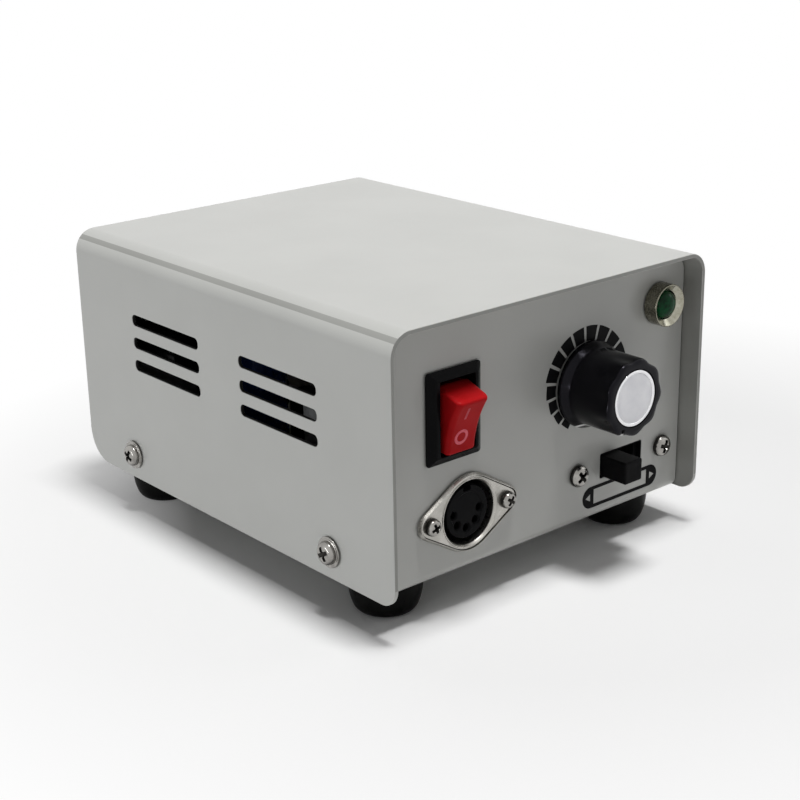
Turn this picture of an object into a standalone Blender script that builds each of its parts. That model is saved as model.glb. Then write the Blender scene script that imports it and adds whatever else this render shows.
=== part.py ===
"""Control box of a dental laboratory micromotor, in metres, +Z up.

X runs to the right of someone who faces the front panel, Y to the rear.
The origin lies under the middle of the box, on the surface it stands on.
"""
import math

import bmesh
import bpy

# Gap between touching pieces, and how far a cutter runs past what it cuts
FIT_GAP = 0.0003
OVERRUN = 0.0020

# Smoothness of round shapes
ROUND_SIDES = 20
SMALL_SIDES = 10
CORNER_STEPS = 3
BEND_STEPS = 5
SHARP_ANGLE = math.radians(35)
HEX_SIDES = 6

# Cover: one sheet bent over the top and both sides
COVER_WIDTH = 0.0970
COVER_HEIGHT = 0.0607
COVER_LENGTH = 0.1230
COVER_SHEET = 0.0010
COVER_BEND_RADIUS = 0.0053
COVER_OVERHANG = 0.0053
COVER_FRONT_CORNER = 0.0045
COVER_REAR_CORNER = 0.0080

# Vent slots in both side walls
VENT_LENGTH = 0.0285
VENT_WIDTH = 0.0028
VENT_END_RADIUS = 0.0012
VENT_ROWS = 3
VENT_PITCH = 0.0058
VENT_MIDDLE_HEIGHT = 0.0370
VENT_GROUP_OFFSET = 0.02235

# Chassis: one sheet bent to front panel, floor and rear panel, with side lips
CHASSIS_SHEET = 0.0012
CHASSIS_BEND_RADIUS = 0.0022
PANEL_CORNER_RADIUS = 0.0043
LIP_HEIGHT = 0.0120
LIP_END_MARGIN = 0.0075

# Screws that hold the cover to the side lips
COVER_SCREW_MARGIN = 0.01635
COVER_SCREW_HEIGHT = 0.0065
COVER_SCREW_HEAD = 0.0029
COVER_SCREW_HEAD_HEIGHT = 0.0018
COVER_SCREW_WASHER = 0.00385
COVER_SCREW_WASHER_SHEET = 0.0006
COVER_SCREW_SHANK = 0.0015
COVER_SCREW_LENGTH = 0.0055

# Feet
FOOT_TOP_RADIUS = 0.0085
FOOT_BOTTOM_RADIUS = 0.0070
FOOT_HEIGHT = 0.0083
FOOT_EDGE_ROUND = 0.0014
FOOT_EDGE_BREAK_SHARE = 0.30
FOOT_WELL_RADIUS = 0.0040
FOOT_WELL_DEPTH = 0.0045
FOOT_SIDE_MARGIN = 0.01015
FOOT_END_MARGIN = 0.0116

# Small machine screws for feet, socket, slide switch and transformer
SCREW_SHANK = 0.0014
SCREW_HEAD = 0.0027
SCREW_HEAD_HEIGHT = 0.0017
HEAD_CROWN_SHARE = 0.80
FOOT_SCREW_TIP = 0.0022
PANEL_SCREW_TIP = 0.0040

# Power rocker switch
ROCKER_SIDE_MARGIN = 0.0199
ROCKER_HEIGHT = 0.0377
BEZEL_WIDTH = 0.0156
BEZEL_HEIGHT = 0.0210
BEZEL_CORNER = 0.0007
BEZEL_REACH = 0.0019
BEZEL_EDGE = 0.0006
BEZEL_CHAMFER = 0.0018
SWITCH_BODY_WALL = 0.0013
SWITCH_BODY_DEPTH = 0.0140
SWITCH_FLOOR = 0.0040
SWITCH_CORNER = 0.0005
ROCKER_WIDTH = 0.0097
ROCKER_SIDE_GAP = 0.0003
ROCKER_END_GAP = 0.00045
ROCKER_WINDOW_HEIGHT = 0.0170
ROCKER_PIVOT_DEPTH = 0.0025
ROCKER_CREST_REACH = 0.0068
ROCKER_CREST_HALF = 0.0066
ROCKER_HOLLOW = 0.0008
ROCKER_SHOULDER = 0.0020
ROCKER_TAIL = 0.0020
ROCKER_TAIL_HALF = 0.0060
ROCKER_EDGE_ROUND = 0.0003
ROCKER_TILT = math.radians(16)
ROCKER_PIN_RADIUS = 0.0010
ROCKER_PIN_REACH = 0.0009
ROCKER_FACE_STEPS = 8
TERMINAL_WIDTH = 0.0048
TERMINAL_SHEET = 0.0008
TERMINAL_LENGTH = 0.0085
TERMINAL_SPACING = 0.0070
TERMINAL_HOLE = 0.0008

# Round five-pin motor socket in its two-eared flange
SOCKET_SIDE_MARGIN = 0.0240
SOCKET_HEIGHT = 0.0138
SOCKET_SCREW_OFFSET = 0.01115
SOCKET_EAR_RADIUS = 0.00365
SOCKET_BODY_RADIUS = 0.0094
SOCKET_PLATE = 0.0008
SOCKET_RIM_HEIGHT = 0.0006
SOCKET_RIM_WIDTH = 0.0007
SOCKET_RIM_SLOPE = 0.0005
SOCKET_BORE = 0.0074
SOCKET_SHELL_WALL = 0.0006
SOCKET_SHELL_DEPTH = 0.0100
SOCKET_RECESS = 0.0009
INSERT_FACE_RADIUS = 0.0061
INSERT_BASE_DEPTH = 0.0030
PIN_COUNT = 5
PIN_CIRCLE = 0.0038
PIN_HOLE = 0.0009
PIN_HOLE_DEPTH = 0.0060
PIN_FAN = math.radians(180)
PIN_TAIL_RADIUS = 0.0006
PIN_TAIL_LENGTH = 0.0040
KEY_WIDTH = 0.0022
KEY_DEPTH = 0.0012

# Pilot lamp
LAMP_SIDE_MARGIN = 0.0091
LAMP_TOP_MARGIN = 0.0104
LAMP_RADIUS = 0.0051
LAMP_REACH = 0.0038
LAMP_LIP = 0.0007
LAMP_EDGE_DROP = 0.0010
LAMP_THREAD_RADIUS = 0.0039
LAMP_THREAD_DEPTH = 0.0090
LAMP_CONE_DEPTH = 0.0024
LAMP_CONE_BEND_SHARE = 0.70
LED_RADIUS = 0.0029
LED_TIP = 0.0034
LED_DEPTH = 0.0080
LAMP_NUT_FLATS = 0.0105
LAMP_NUT_THICKNESS = 0.0022

# Speed potentiometer and its knob
KNOB_SIDE_MARGIN = 0.0329
KNOB_HEIGHT = 0.0347
KNOB_GAP = 0.0006
KNOB_REACH = 0.0148
KNOB_SKIRT_RADIUS = 0.0103
KNOB_SKIRT_THICKNESS = 0.0012
KNOB_NECK_RADIUS = 0.0095
KNOB_FRONT_RADIUS = 0.0091
KNOB_LOBES = 10
KNOB_LOBE_STEPS = 5
KNOB_FLUTE_DEPTH = 0.0009
KNOB_FLUTE_SHARPNESS = 1.4
KNOB_EDGE_ROUND = 0.0006
KNOB_FLUTE_START_SHARE = 0.50
KNOB_FLUTE_FULL_SHARE = 0.80
KNOB_WELL_RADIUS = 0.0071
KNOB_WELL_DEPTH = 0.0030
KNOB_BORE_DEPTH = 0.0100
CAP_RADIUS = 0.0065
CAP_THICKNESS = 0.0009
CAP_EDGE_ROUND = 0.0002
SHAFT_RADIUS = 0.0030
SHAFT_TAIL = 0.0060
BUSHING_RADIUS = 0.0041
BUSHING_REACH = 0.0030
POT_RADIUS = 0.0085
POT_DEPTH = 0.0085
POT_EDGE_ROUND = 0.0006
POT_LUGS = 3
POT_LUG_WIDTH = 0.0016
POT_LUG_SHEET = 0.0008
POT_LUG_LENGTH = 0.0050
POT_LUG_PITCH = 0.0050
POT_NUT_FLATS = 0.0110
POT_NUT_THICKNESS = 0.0020

# Direction slide switch, with its slider at the left end of its travel
SLIDE_SIDE_MARGIN = 0.0210
SLIDE_HEIGHT = 0.0126
SLIDER_WIDTH = 0.0058
SLIDER_HEIGHT = 0.0054
SLIDER_REACH = 0.0075
SLIDER_TRAVEL = 0.0032
SLIDER_CORNER = 0.0004
SLIDER_EDGE_ROUND = 0.0004
SLIDER_END_GAP = 0.0005
SLIDER_SIDE_GAP = 0.0004
CARRIAGE_MARGIN = 0.0018
CARRIAGE_THICKNESS = 0.0016
SLIDE_SCREW_OFFSET = 0.01445
SLIDE_PLATE_END = 0.0035
SLIDE_PLATE_HEIGHT = 0.0135
SLIDE_PLATE_CORNER = 0.0012
SLIDE_PLATE_SHEET = 0.0008
SLIDE_BOX_WALL = 0.0007
SLIDE_BOX_CORNER = 0.0009
SLIDE_BOX_DEPTH = 0.0070
SLIDE_PIN_COLUMNS = 3
SLIDE_PIN_ROWS = 2
SLIDE_PIN_PITCH = 0.0045
SLIDE_PIN_WIDTH = 0.0012
SLIDE_PIN_LENGTH = 0.0040

# Fuse holder on the rear panel
FUSE_SIDE_MARGIN = 0.0097
FUSE_HEIGHT = 0.0340
FUSE_BODY_RADIUS = 0.0061
FUSE_FLANGE_RADIUS = 0.0075
FUSE_FLANGE_THICKNESS = 0.0016
FUSE_BORE = 0.0048
FUSE_BODY_DEPTH = 0.0300
FUSE_FLOOR = 0.0020
FUSE_NUT_FLATS = 0.0165
FUSE_NUT_THICKNESS = 0.0030
FUSE_CAP_RADIUS = 0.0062
FUSE_CAP_REACH = 0.0142
FUSE_CAP_EDGE_ROUND = 0.0008
FUSE_CAP_RIBS = 10
FUSE_CAP_RIB_STEPS = 3
FUSE_CAP_RIB_DEPTH = 0.0004
FUSE_PLUG_LENGTH = 0.0060
FUSE_PLUG_WALL = 0.0010
FUSE_SLOT_WIDTH = 0.0014
FUSE_SLOT_DEPTH = 0.0012
FUSE_LINK_RADIUS = 0.0026
FUSE_LINK_LENGTH = 0.0200
FUSE_LINK_CAP_LENGTH = 0.0050
FUSE_GLASS_RADIUS = 0.0024
FUSE_LINK_INSET = 0.0030

# Mains lead grommet and pedal jack on the rear panel
GROMMET_SIDE_MARGIN = 0.0192
GROMMET_HEIGHT = 0.0150
GROMMET_BORE = 0.0034
GROMMET_NECK = 0.0054
GROMMET_LIP = 0.0078
GROMMET_LIP_THICKNESS = 0.0028
GROMMET_LIP_TAPER = 0.0010
JACK_SIDE_MARGIN = 0.0352
JACK_HEIGHT = 0.0150
JACK_BORE = 0.0033
JACK_THREAD_RADIUS = 0.0047
JACK_REACH = 0.0048
JACK_BODY_RADIUS = 0.0072
JACK_BODY_DEPTH = 0.0240
JACK_FLOOR = 0.0015
JACK_NUT_RADIUS = 0.0068
JACK_NUT_THICKNESS = 0.0024
JACK_NUT_EDGE_ROUND = 0.0004

# Transformer in its strap
CORE_SIDE_GAP = 0.0010
CORE_Y = 0.0110
CORE_WIDTH_SHARE = 0.435
CORE_STACK = 0.0200
CORE_LIMB = 0.0066
CORE_WINDOW_WIDTH = 0.0068
CORE_WINDOW_HEIGHT = 0.0200
BOBBIN_BULGE = 0.0078
BOBBIN_CORNER = 0.0010
BOBBIN_FLANGE = 0.0010
BOBBIN_STEP = 0.0008
STRAP_SHEET = 0.0010
STRAP_WIDTH = 0.0160
STRAP_BEND_RADIUS = 0.0016
STRAP_FOOT = 0.0060
STRAP_HOLE_MARGIN = 0.0032

# Speed control board and what stands on it
BOARD_SIDE_GAP = 0.0042
BOARD_Y = -0.0070
BOARD_WIDTH_SHARE = 0.353
BOARD_LENGTH = 0.0660
BOARD_SHEET = 0.0016
BOARD_CORNER = 0.0010
BOARD_HOLE_MARGIN = 0.0038
SUPPORT_HEIGHT = 0.0050
SUPPORT_RADIUS = 0.0026
SUPPORT_PIN_RADIUS = 0.0015
SUPPORT_PIN_TIP = 0.0012
CAPACITOR_OFFSET_SHARE = -0.215
CAPACITOR_Y = 0.0090
CAPACITOR_RADIUS = 0.0080
CAPACITOR_LENGTH = 0.0355
CAPACITOR_EDGE_ROUND = 0.0008
CAPACITOR_GROOVE = 0.0005
CAPACITOR_GROOVE_HEIGHT = 0.0030
SINK_Y = -0.0260
SINK_WIDTH_SHARE = 0.77
SINK_PLATE = 0.0020
SINK_FIN_DEPTH = 0.0080
SINK_FIN_SHEET = 0.0012
SINK_FINS = 6
SINK_HEIGHT = 0.0260
TRANSISTOR_WIDTH = 0.0100
TRANSISTOR_THICKNESS = 0.0044
TRANSISTOR_BODY_HEIGHT = 0.0092
TRANSISTOR_TAB_HEIGHT = 0.0062
TRANSISTOR_TAB_SHEET = 0.0013
TRANSISTOR_TAB_SETBACK = 0.0002
TRANSISTOR_CORNER = 0.0004
TRANSISTOR_LEAD = 0.0008
TRANSISTOR_LEAD_PITCH = 0.0025
TRANSISTOR_LEAD_LENGTH = 0.0060
RECTIFIER_OFFSET_SHARE = 0.323
RECTIFIER_Y = 0.0060
RECTIFIER_WIDTH = 0.0060
RECTIFIER_LENGTH = 0.0180
RECTIFIER_HEIGHT = 0.0140
RECTIFIER_CORNER = 0.0008

# Levels and faces that follow from the sizes above
BASE_LEVEL = FOOT_HEIGHT + FIT_GAP
FLOOR_LEVEL = BASE_LEVEL + CHASSIS_SHEET
PANEL_FACE = COVER_LENGTH / 2 - COVER_OVERHANG
PANEL_HALF_WIDTH = COVER_WIDTH / 2 - COVER_SHEET - FIT_GAP
PANEL_TOP = COVER_HEIGHT - COVER_SHEET - FIT_GAP
PANEL_BACK = -(CHASSIS_SHEET + FIT_GAP)
ROCKER_X = -(PANEL_HALF_WIDTH - ROCKER_SIDE_MARGIN)
SOCKET_X = -(PANEL_HALF_WIDTH - SOCKET_SIDE_MARGIN)
KNOB_X = PANEL_HALF_WIDTH - KNOB_SIDE_MARGIN
SLIDE_X = PANEL_HALF_WIDTH - SLIDE_SIDE_MARGIN
FUSE_X = -(PANEL_HALF_WIDTH - FUSE_SIDE_MARGIN)
GROMMET_X = PANEL_HALF_WIDTH - GROMMET_SIDE_MARGIN
JACK_X = -(PANEL_HALF_WIDTH - JACK_SIDE_MARGIN)
LAMP_X = PANEL_HALF_WIDTH - LAMP_SIDE_MARGIN
LAMP_HEIGHT = PANEL_TOP - LAMP_TOP_MARGIN
FOOT_OFFSET_X = PANEL_HALF_WIDTH - FOOT_SIDE_MARGIN
FOOT_OFFSET_Y = PANEL_FACE - FOOT_END_MARGIN
COVER_SCREW_OFFSET = PANEL_FACE - COVER_SCREW_MARGIN
BOARD_LEVEL = SUPPORT_HEIGHT + 2 * FIT_GAP
BOARD_TOP = BOARD_LEVEL + BOARD_SHEET + FIT_GAP
CORE_HEIGHT = CORE_WINDOW_HEIGHT + 2 * CORE_LIMB

# What stands on the floor between the side lips
INSIDE_HALF_WIDTH = PANEL_HALF_WIDTH - CHASSIS_SHEET
CORE_WIDTH = 2 * INSIDE_HALF_WIDTH * CORE_WIDTH_SHARE
CORE_X = INSIDE_HALF_WIDTH - CORE_SIDE_GAP - CORE_WIDTH / 2 - FIT_GAP - STRAP_SHEET - STRAP_FOOT
BOARD_WIDTH = 2 * INSIDE_HALF_WIDTH * BOARD_WIDTH_SHARE
BOARD_X = -(INSIDE_HALF_WIDTH - BOARD_SIDE_GAP - BOARD_WIDTH / 2)
CAPACITOR_X = BOARD_X + BOARD_WIDTH * CAPACITOR_OFFSET_SHARE
SINK_X = BOARD_X
SINK_WIDTH = BOARD_WIDTH * SINK_WIDTH_SHARE
RECTIFIER_X = BOARD_X + BOARD_WIDTH * RECTIFIER_OFFSET_SHARE

# Surface finishes: colour, roughness, metallic
FINISHES = {
    "grey_enamel": ((0.50, 0.50, 0.48), 0.35, 0.0),
    "nickel": ((0.72, 0.70, 0.66), 0.22, 1.0),
    "zinc": ((0.60, 0.60, 0.58), 0.35, 1.0),
    "black_plastic": ((0.012, 0.012, 0.014), 0.30, 0.0),
    "black_rubber": ((0.015, 0.015, 0.015), 0.45, 0.0),
    "red_plastic": ((0.58, 0.012, 0.018), 0.28, 0.0),
    "silver_cap": ((0.78, 0.78, 0.82), 0.40, 0.6),
    "green_lens": ((0.02, 0.30, 0.09), 0.15, 0.0),
    "brass": ((0.70, 0.52, 0.22), 0.30, 1.0),
    "glass": ((0.85, 0.90, 0.90), 0.05, 0.0),
    "lamination": ((0.16, 0.16, 0.17), 0.50, 0.8),
    "winding_tape": ((0.70, 0.50, 0.10), 0.50, 0.0),
    "board_green": ((0.03, 0.22, 0.10), 0.45, 0.0),
    "nylon": ((0.80, 0.79, 0.74), 0.50, 0.0),
    "sleeve_blue": ((0.04, 0.10, 0.32), 0.35, 0.0),
    "aluminium": ((0.62, 0.63, 0.64), 0.40, 1.0),
}


def clear_scene():
    """Remove whatever the scene holds."""
    for thing in list(bpy.data.objects):
        bpy.data.objects.remove(thing, do_unlink=True)


def new_finish(name, finish):
    """Principled material of one piece."""
    colour, roughness, metallic = FINISHES[finish]
    material = bpy.data.materials.new(name)
    material.use_nodes = True
    shader = material.node_tree.nodes["Principled BSDF"]
    shader.inputs["Base Color"].default_value = (*colour, 1.0)
    shader.inputs["Roughness"].default_value = roughness
    shader.inputs["Metallic"].default_value = metallic
    return material


def new_frame(name, location, turn):
    """Empty that carries the pieces of one side of the box."""
    frame = bpy.data.objects.new(name, None)
    bpy.context.collection.objects.link(frame)
    frame.location = location
    frame.rotation_euler = [math.radians(angle) for angle in turn]
    return frame


def circle(radius, level, sides=ROUND_SIDES):
    """Ring of points round the local Z axis."""
    turns = [math.tau * side / sides for side in range(sides)]
    return [(radius * math.cos(turn), radius * math.sin(turn), level) for turn in turns]


def circle_at(centre_x, centre_y, radius, level, sides=SMALL_SIDES):
    """Ring round an axis beside the local Z axis."""
    return [(centre_x + x, centre_y + y, z) for x, y, z in circle(radius, level, sides)]


def rounded_ring(width, height, corner, level, centre_x=0, centre_y=0):
    """Ring of a rectangle with round corners."""
    points = []
    for quarter, (side_x, side_y) in enumerate(((1, 1), (-1, 1), (-1, -1), (1, -1))):
        middle_x = centre_x + side_x * (width / 2 - corner)
        middle_y = centre_y + side_y * (height / 2 - corner)
        for step in range(CORNER_STEPS + 1):
            angle = (quarter + step / CORNER_STEPS) * math.pi / 2
            x = middle_x + corner * math.cos(angle)
            y = middle_y + corner * math.sin(angle)
            points.append((x, y, level))
    return points


def square_ring(width, height, level, centre_x=0, centre_y=0):
    """Ring of a plain rectangle."""
    signs = ((1, 1), (-1, 1), (-1, -1), (1, -1))
    return [(centre_x + x * width / 2, centre_y + y * height / 2, level) for x, y in signs]


def hexagon(flats, level):
    """Ring of a hexagon of a given width across flats."""
    return circle(flats / 2 / math.cos(math.pi / HEX_SIDES), level, HEX_SIDES)


def u_profile(half_span, rise, bend_radius, sheet):
    """Outline of a sheet bent to a U whose base lies along zero."""
    def side(inset):
        run = [(inset - half_span, rise)]
        for sign, start in ((-1, 2), (1, 3)):
            middle = sign * (half_span - bend_radius)
            for step in range(BEND_STEPS + 1):
                angle = (start + step / BEND_STEPS) * math.pi / 2
                reach = bend_radius - inset
                run.append((middle + reach * math.cos(angle), bend_radius + reach * math.sin(angle)))
        run.append((half_span - inset, rise))
        return run
    return side(0) + side(sheet)[::-1]


def add_loft(mesh, rings, wrap=False):
    """Join rings of equal count by quads, closed by end caps or back to the first."""
    rows = [[mesh.verts.new(point) for point in ring] for ring in rings]
    pairs = list(zip(rows, rows[1:]))
    if wrap:
        pairs.append((rows[-1], rows[0]))
    else:
        mesh.faces.new(rows[0][::-1])
        mesh.faces.new(rows[-1])
    for low, high in pairs:
        for here, start in enumerate(low):
            after = (here + 1) % len(low)
            mesh.faces.new((start, low[after], high[after], high[here]))


def new_object(name, lofts):
    """Object of one or more lofts, each a list of rings or a wrapped list of rings."""
    mesh = bmesh.new()
    for rings, wrap in lofts:
        add_loft(mesh, rings, wrap)
    bmesh.ops.recalc_face_normals(mesh, faces=mesh.faces)
    data = bpy.data.meshes.new(name)
    mesh.to_mesh(data)
    mesh.free()
    data.shade_smooth()
    data.set_sharp_from_angle(angle=SHARP_ANGLE)
    thing = bpy.data.objects.new(name, data)
    bpy.context.collection.objects.link(thing)
    return thing


def seat(thing, frame, x=0, y=0, z=0):
    """Place a piece in the frame of its side."""
    thing.parent = frame
    thing.location = (x, y, z)
    return thing


def piece(name, finish, rings, wrap=False):
    """One closed sub-part with its own material."""
    thing = new_object(name, [(rings, wrap)])
    thing.data.materials.append(new_finish(name, finish))
    return thing


def helper(name, lofts):
    """Hidden shape that a Boolean adds or takes away."""
    thing = new_object(name, [(rings, False) for rings in lofts])
    thing.hide_render = True
    thing.display_type = "WIRE"
    return thing


def combine(thing, other, operation):
    """Boolean with a helper that lies in the same frame and place."""
    other.parent = thing.parent
    other.location = thing.location
    other.rotation_euler = thing.rotation_euler
    modifier = thing.modifiers.new(other.name, "BOOLEAN")
    modifier.object = other
    modifier.operation = operation
    modifier.solver = "EXACT"
    return thing


def soften(thing, width):
    """Break the sharp edges of a finished piece."""
    modifier = thing.modifiers.new("edge_break", "BEVEL")
    modifier.width = width
    modifier.segments = 1
    modifier.limit_method = "ANGLE"
    modifier.angle_limit = SHARP_ANGLE
    return thing


def bar(outline, start, end, place):
    """Two rings of an outline, moved along the axis that place leaves free."""
    return [[place(u, v, w) for u, v in outline] for w in (start, end)]


def along_x(u, v, w):
    """Outline in Y and Z, drawn out along X."""
    return (w, u, v)


def along_y(u, v, w):
    """Outline in X and Z, drawn out along Y."""
    return (u, w, v)


def flat(ring):
    """The two in-plane values of each point of a ring."""
    return [(x, y) for x, y, level in ring]


def pan_screw(name, frame, x, y, head, head_height, shank, tip, seat_level=FIT_GAP):
    """Screw whose head sits on a face and whose shank points into the box."""
    shoulder = head_height / 2
    crown = seat_level + head_height
    rings = [
        circle(shank, -tip, SMALL_SIDES),
        circle(shank, seat_level, SMALL_SIDES),
        circle(head, seat_level, SMALL_SIDES),
        circle(head, seat_level + shoulder, SMALL_SIDES),
        circle(head * HEAD_CROWN_SHARE, seat_level + shoulder + shoulder * HEAD_CROWN_SHARE, SMALL_SIDES),
        circle(head / 2, crown, SMALL_SIDES),
    ]
    return seat(piece(name, "nickel", rings), frame, x, y)


def make_cover():
    """Bent sheet with round lower corners, vents and screw holes."""
    half = COVER_WIDTH / 2
    top = BASE_LEVEL + COVER_HEIGHT
    long_half = COVER_LENGTH / 2
    section = [(u, top - v) for u, v in
               u_profile(half, COVER_HEIGHT + OVERRUN, COVER_BEND_RADIUS, COVER_SHEET)]
    cover = piece("cover", "grey_enamel",
                  bar(section, -(long_half + OVERRUN), long_half + OVERRUN, along_y))

    side = [(-long_half, top + OVERRUN), (long_half, top + OVERRUN)]
    for corner, sign, start in ((COVER_REAR_CORNER, 1, 4), (COVER_FRONT_CORNER, -1, 3)):
        middle = sign * (long_half - corner)
        for step in range(CORNER_STEPS * 2 + 1):
            angle = (start - step / (CORNER_STEPS * 2)) * math.pi / 2
            side.append((middle + corner * math.cos(angle), BASE_LEVEL + corner + corner * math.sin(angle)))
    wide = half + OVERRUN
    combine(cover, helper("cover_side_outline", [bar(side, -wide, wide, along_x)]), "INTERSECT")

    slots = []
    for group in (-VENT_GROUP_OFFSET, VENT_GROUP_OFFSET):
        for row in range(VENT_ROWS):
            level = VENT_MIDDLE_HEIGHT + (row - (VENT_ROWS - 1) / 2) * VENT_PITCH
            ring = rounded_ring(VENT_LENGTH, VENT_WIDTH, VENT_END_RADIUS, 0, group, BASE_LEVEL + level)
            slots.append(bar(flat(ring), -wide, wide, along_x))
    for place in (-COVER_SCREW_OFFSET, COVER_SCREW_OFFSET):
        ring = circle_at(place, BASE_LEVEL + COVER_SCREW_HEIGHT, COVER_SCREW_SHANK + FIT_GAP, 0)
        slots.append(bar(flat(ring), -wide, wide, along_x))
    combine(cover, helper("cover_openings", slots), "DIFFERENCE")


def panel_hole(ring, outward):
    """Cutter through the front panel, or through the rear one, for a ring in X and height."""
    near = outward * (PANEL_FACE - CHASSIS_SHEET - OVERRUN)
    far = outward * (PANEL_FACE + OVERRUN)
    outline = [(x, BASE_LEVEL + y) for x, y in flat(ring)]
    return bar(outline, min(near, far), max(near, far), along_y)


def front_holes():
    """Cutters for what the front panel carries."""
    rocker = rounded_ring(switch_body_width() + 2 * FIT_GAP, switch_body_height() + 2 * FIT_GAP,
                          SWITCH_CORNER, 0, ROCKER_X, ROCKER_HEIGHT)
    slide = rounded_ring(slider_slot_width(), slider_slot_height(), SLIDER_CORNER, 0, SLIDE_X, SLIDE_HEIGHT)
    shell = SOCKET_BORE + SOCKET_SHELL_WALL + FIT_GAP
    rings = [
        rocker,
        slide,
        circle_at(SOCKET_X, SOCKET_HEIGHT, shell, 0, ROUND_SIDES),
        circle_at(KNOB_X, KNOB_HEIGHT, BUSHING_RADIUS + FIT_GAP, 0),
        circle_at(LAMP_X, LAMP_HEIGHT, LAMP_THREAD_RADIUS + FIT_GAP, 0),
    ]
    for sign in (-1, 1):
        rings.append(circle_at(SOCKET_X + sign * SOCKET_SCREW_OFFSET, SOCKET_HEIGHT, SCREW_SHANK + FIT_GAP, 0))
        rings.append(circle_at(SLIDE_X + sign * SLIDE_SCREW_OFFSET, SLIDE_HEIGHT, SCREW_SHANK + FIT_GAP, 0))
    return [panel_hole(ring, -1) for ring in rings]


def rear_holes():
    """Cutters for what the rear panel carries."""
    rings = [
        circle_at(FUSE_X, FUSE_HEIGHT, FUSE_BODY_RADIUS + FIT_GAP, 0, ROUND_SIDES),
        circle_at(GROMMET_X, GROMMET_HEIGHT, GROMMET_NECK + FIT_GAP, 0, ROUND_SIDES),
        circle_at(JACK_X, JACK_HEIGHT, JACK_THREAD_RADIUS + FIT_GAP, 0),
    ]
    return [panel_hole(ring, 1) for ring in rings]


def floor_places():
    """Where screws and supports go through the floor, as X, Y and hole radius."""
    places = [(x, y, SCREW_SHANK + FIT_GAP) for x, y in foot_places()]
    places += [(x, CORE_Y, SCREW_SHANK + FIT_GAP) for x in strap_screw_places()]
    places += [(x, y, SUPPORT_PIN_RADIUS + FIT_GAP) for x, y in support_places()]
    return places


def make_chassis():
    """Bent sheet with front panel, floor, rear panel and side lips."""
    wide = PANEL_HALF_WIDTH + OVERRUN
    section = [(u, BASE_LEVEL + v) for u, v in
               u_profile(PANEL_FACE, PANEL_TOP + OVERRUN, CHASSIS_BEND_RADIUS, CHASSIS_SHEET)]
    chassis = piece("chassis", "grey_enamel", bar(section, -wide, wide, along_x))

    lip_end = PANEL_FACE - LIP_END_MARGIN
    lips = []
    for sign in (-1, 1):
        inner = sign * (PANEL_HALF_WIDTH - CHASSIS_SHEET)
        outer = sign * wide
        outline = [(-lip_end, BASE_LEVEL + CHASSIS_SHEET / 2), (lip_end, BASE_LEVEL + CHASSIS_SHEET / 2),
                   (lip_end, BASE_LEVEL + LIP_HEIGHT), (-lip_end, BASE_LEVEL + LIP_HEIGHT)]
        lips.append(bar(outline, min(inner, outer), max(inner, outer), along_x))
    combine(chassis, helper("chassis_lips", lips), "UNION")

    corner = PANEL_CORNER_RADIUS
    outline = [(-PANEL_HALF_WIDTH, BASE_LEVEL - OVERRUN), (PANEL_HALF_WIDTH, BASE_LEVEL - OVERRUN)]
    for sign, start in ((1, 0), (-1, 1)):
        for step in range(CORNER_STEPS * 2 + 1):
            angle = (start + step / (CORNER_STEPS * 2)) * math.pi / 2
            outline.append((sign * (PANEL_HALF_WIDTH - corner) + corner * math.cos(angle),
                            BASE_LEVEL + PANEL_TOP - corner + corner * math.sin(angle)))
    deep = PANEL_FACE + OVERRUN
    combine(chassis, helper("chassis_outline", [bar(outline, -deep, deep, along_y)]), "INTERSECT")

    cutters = front_holes() + rear_holes()
    for x, y, radius in floor_places():
        cutters.append([circle_at(x, y, radius, BASE_LEVEL - OVERRUN),
                        circle_at(x, y, radius, FLOOR_LEVEL + OVERRUN)])
    for place in (-COVER_SCREW_OFFSET, COVER_SCREW_OFFSET):
        ring = circle_at(place, BASE_LEVEL + COVER_SCREW_HEIGHT, COVER_SCREW_SHANK + FIT_GAP, 0)
        cutters.append(bar(flat(ring), -wide, wide, along_x))
    combine(chassis, helper("chassis_holes", cutters), "DIFFERENCE")


def make_cover_screws(walls):
    """Screws with captive washers, two in each side wall."""
    for side, wall, forward in walls:
        for end, sign in (("front", -1), ("rear", 1)):
            top = FIT_GAP + COVER_SCREW_WASHER_SHEET
            shoulder = top + COVER_SCREW_HEAD_HEIGHT / 2
            rings = [
                circle(COVER_SCREW_SHANK, -COVER_SCREW_LENGTH, SMALL_SIDES),
                circle(COVER_SCREW_SHANK, FIT_GAP, SMALL_SIDES),
                circle(COVER_SCREW_WASHER, FIT_GAP, SMALL_SIDES),
                circle(COVER_SCREW_WASHER, top, SMALL_SIDES),
                circle(COVER_SCREW_HEAD, top, SMALL_SIDES),
                circle(COVER_SCREW_HEAD, shoulder, SMALL_SIDES),
                circle(COVER_SCREW_HEAD * HEAD_CROWN_SHARE,
                       shoulder + COVER_SCREW_HEAD_HEIGHT / 2 * HEAD_CROWN_SHARE, SMALL_SIDES),
                circle(COVER_SCREW_HEAD / 2, top + COVER_SCREW_HEAD_HEIGHT, SMALL_SIDES),
            ]
            screw = piece(f"cover_screw_{side}_{end}", "nickel", rings)
            seat(screw, wall, forward * sign * COVER_SCREW_OFFSET, COVER_SCREW_HEIGHT)


def foot_places():
    """Centres of the four feet."""
    return [(x, y) for x in (-FOOT_OFFSET_X, FOOT_OFFSET_X) for y in (-FOOT_OFFSET_Y, FOOT_OFFSET_Y)]


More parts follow.
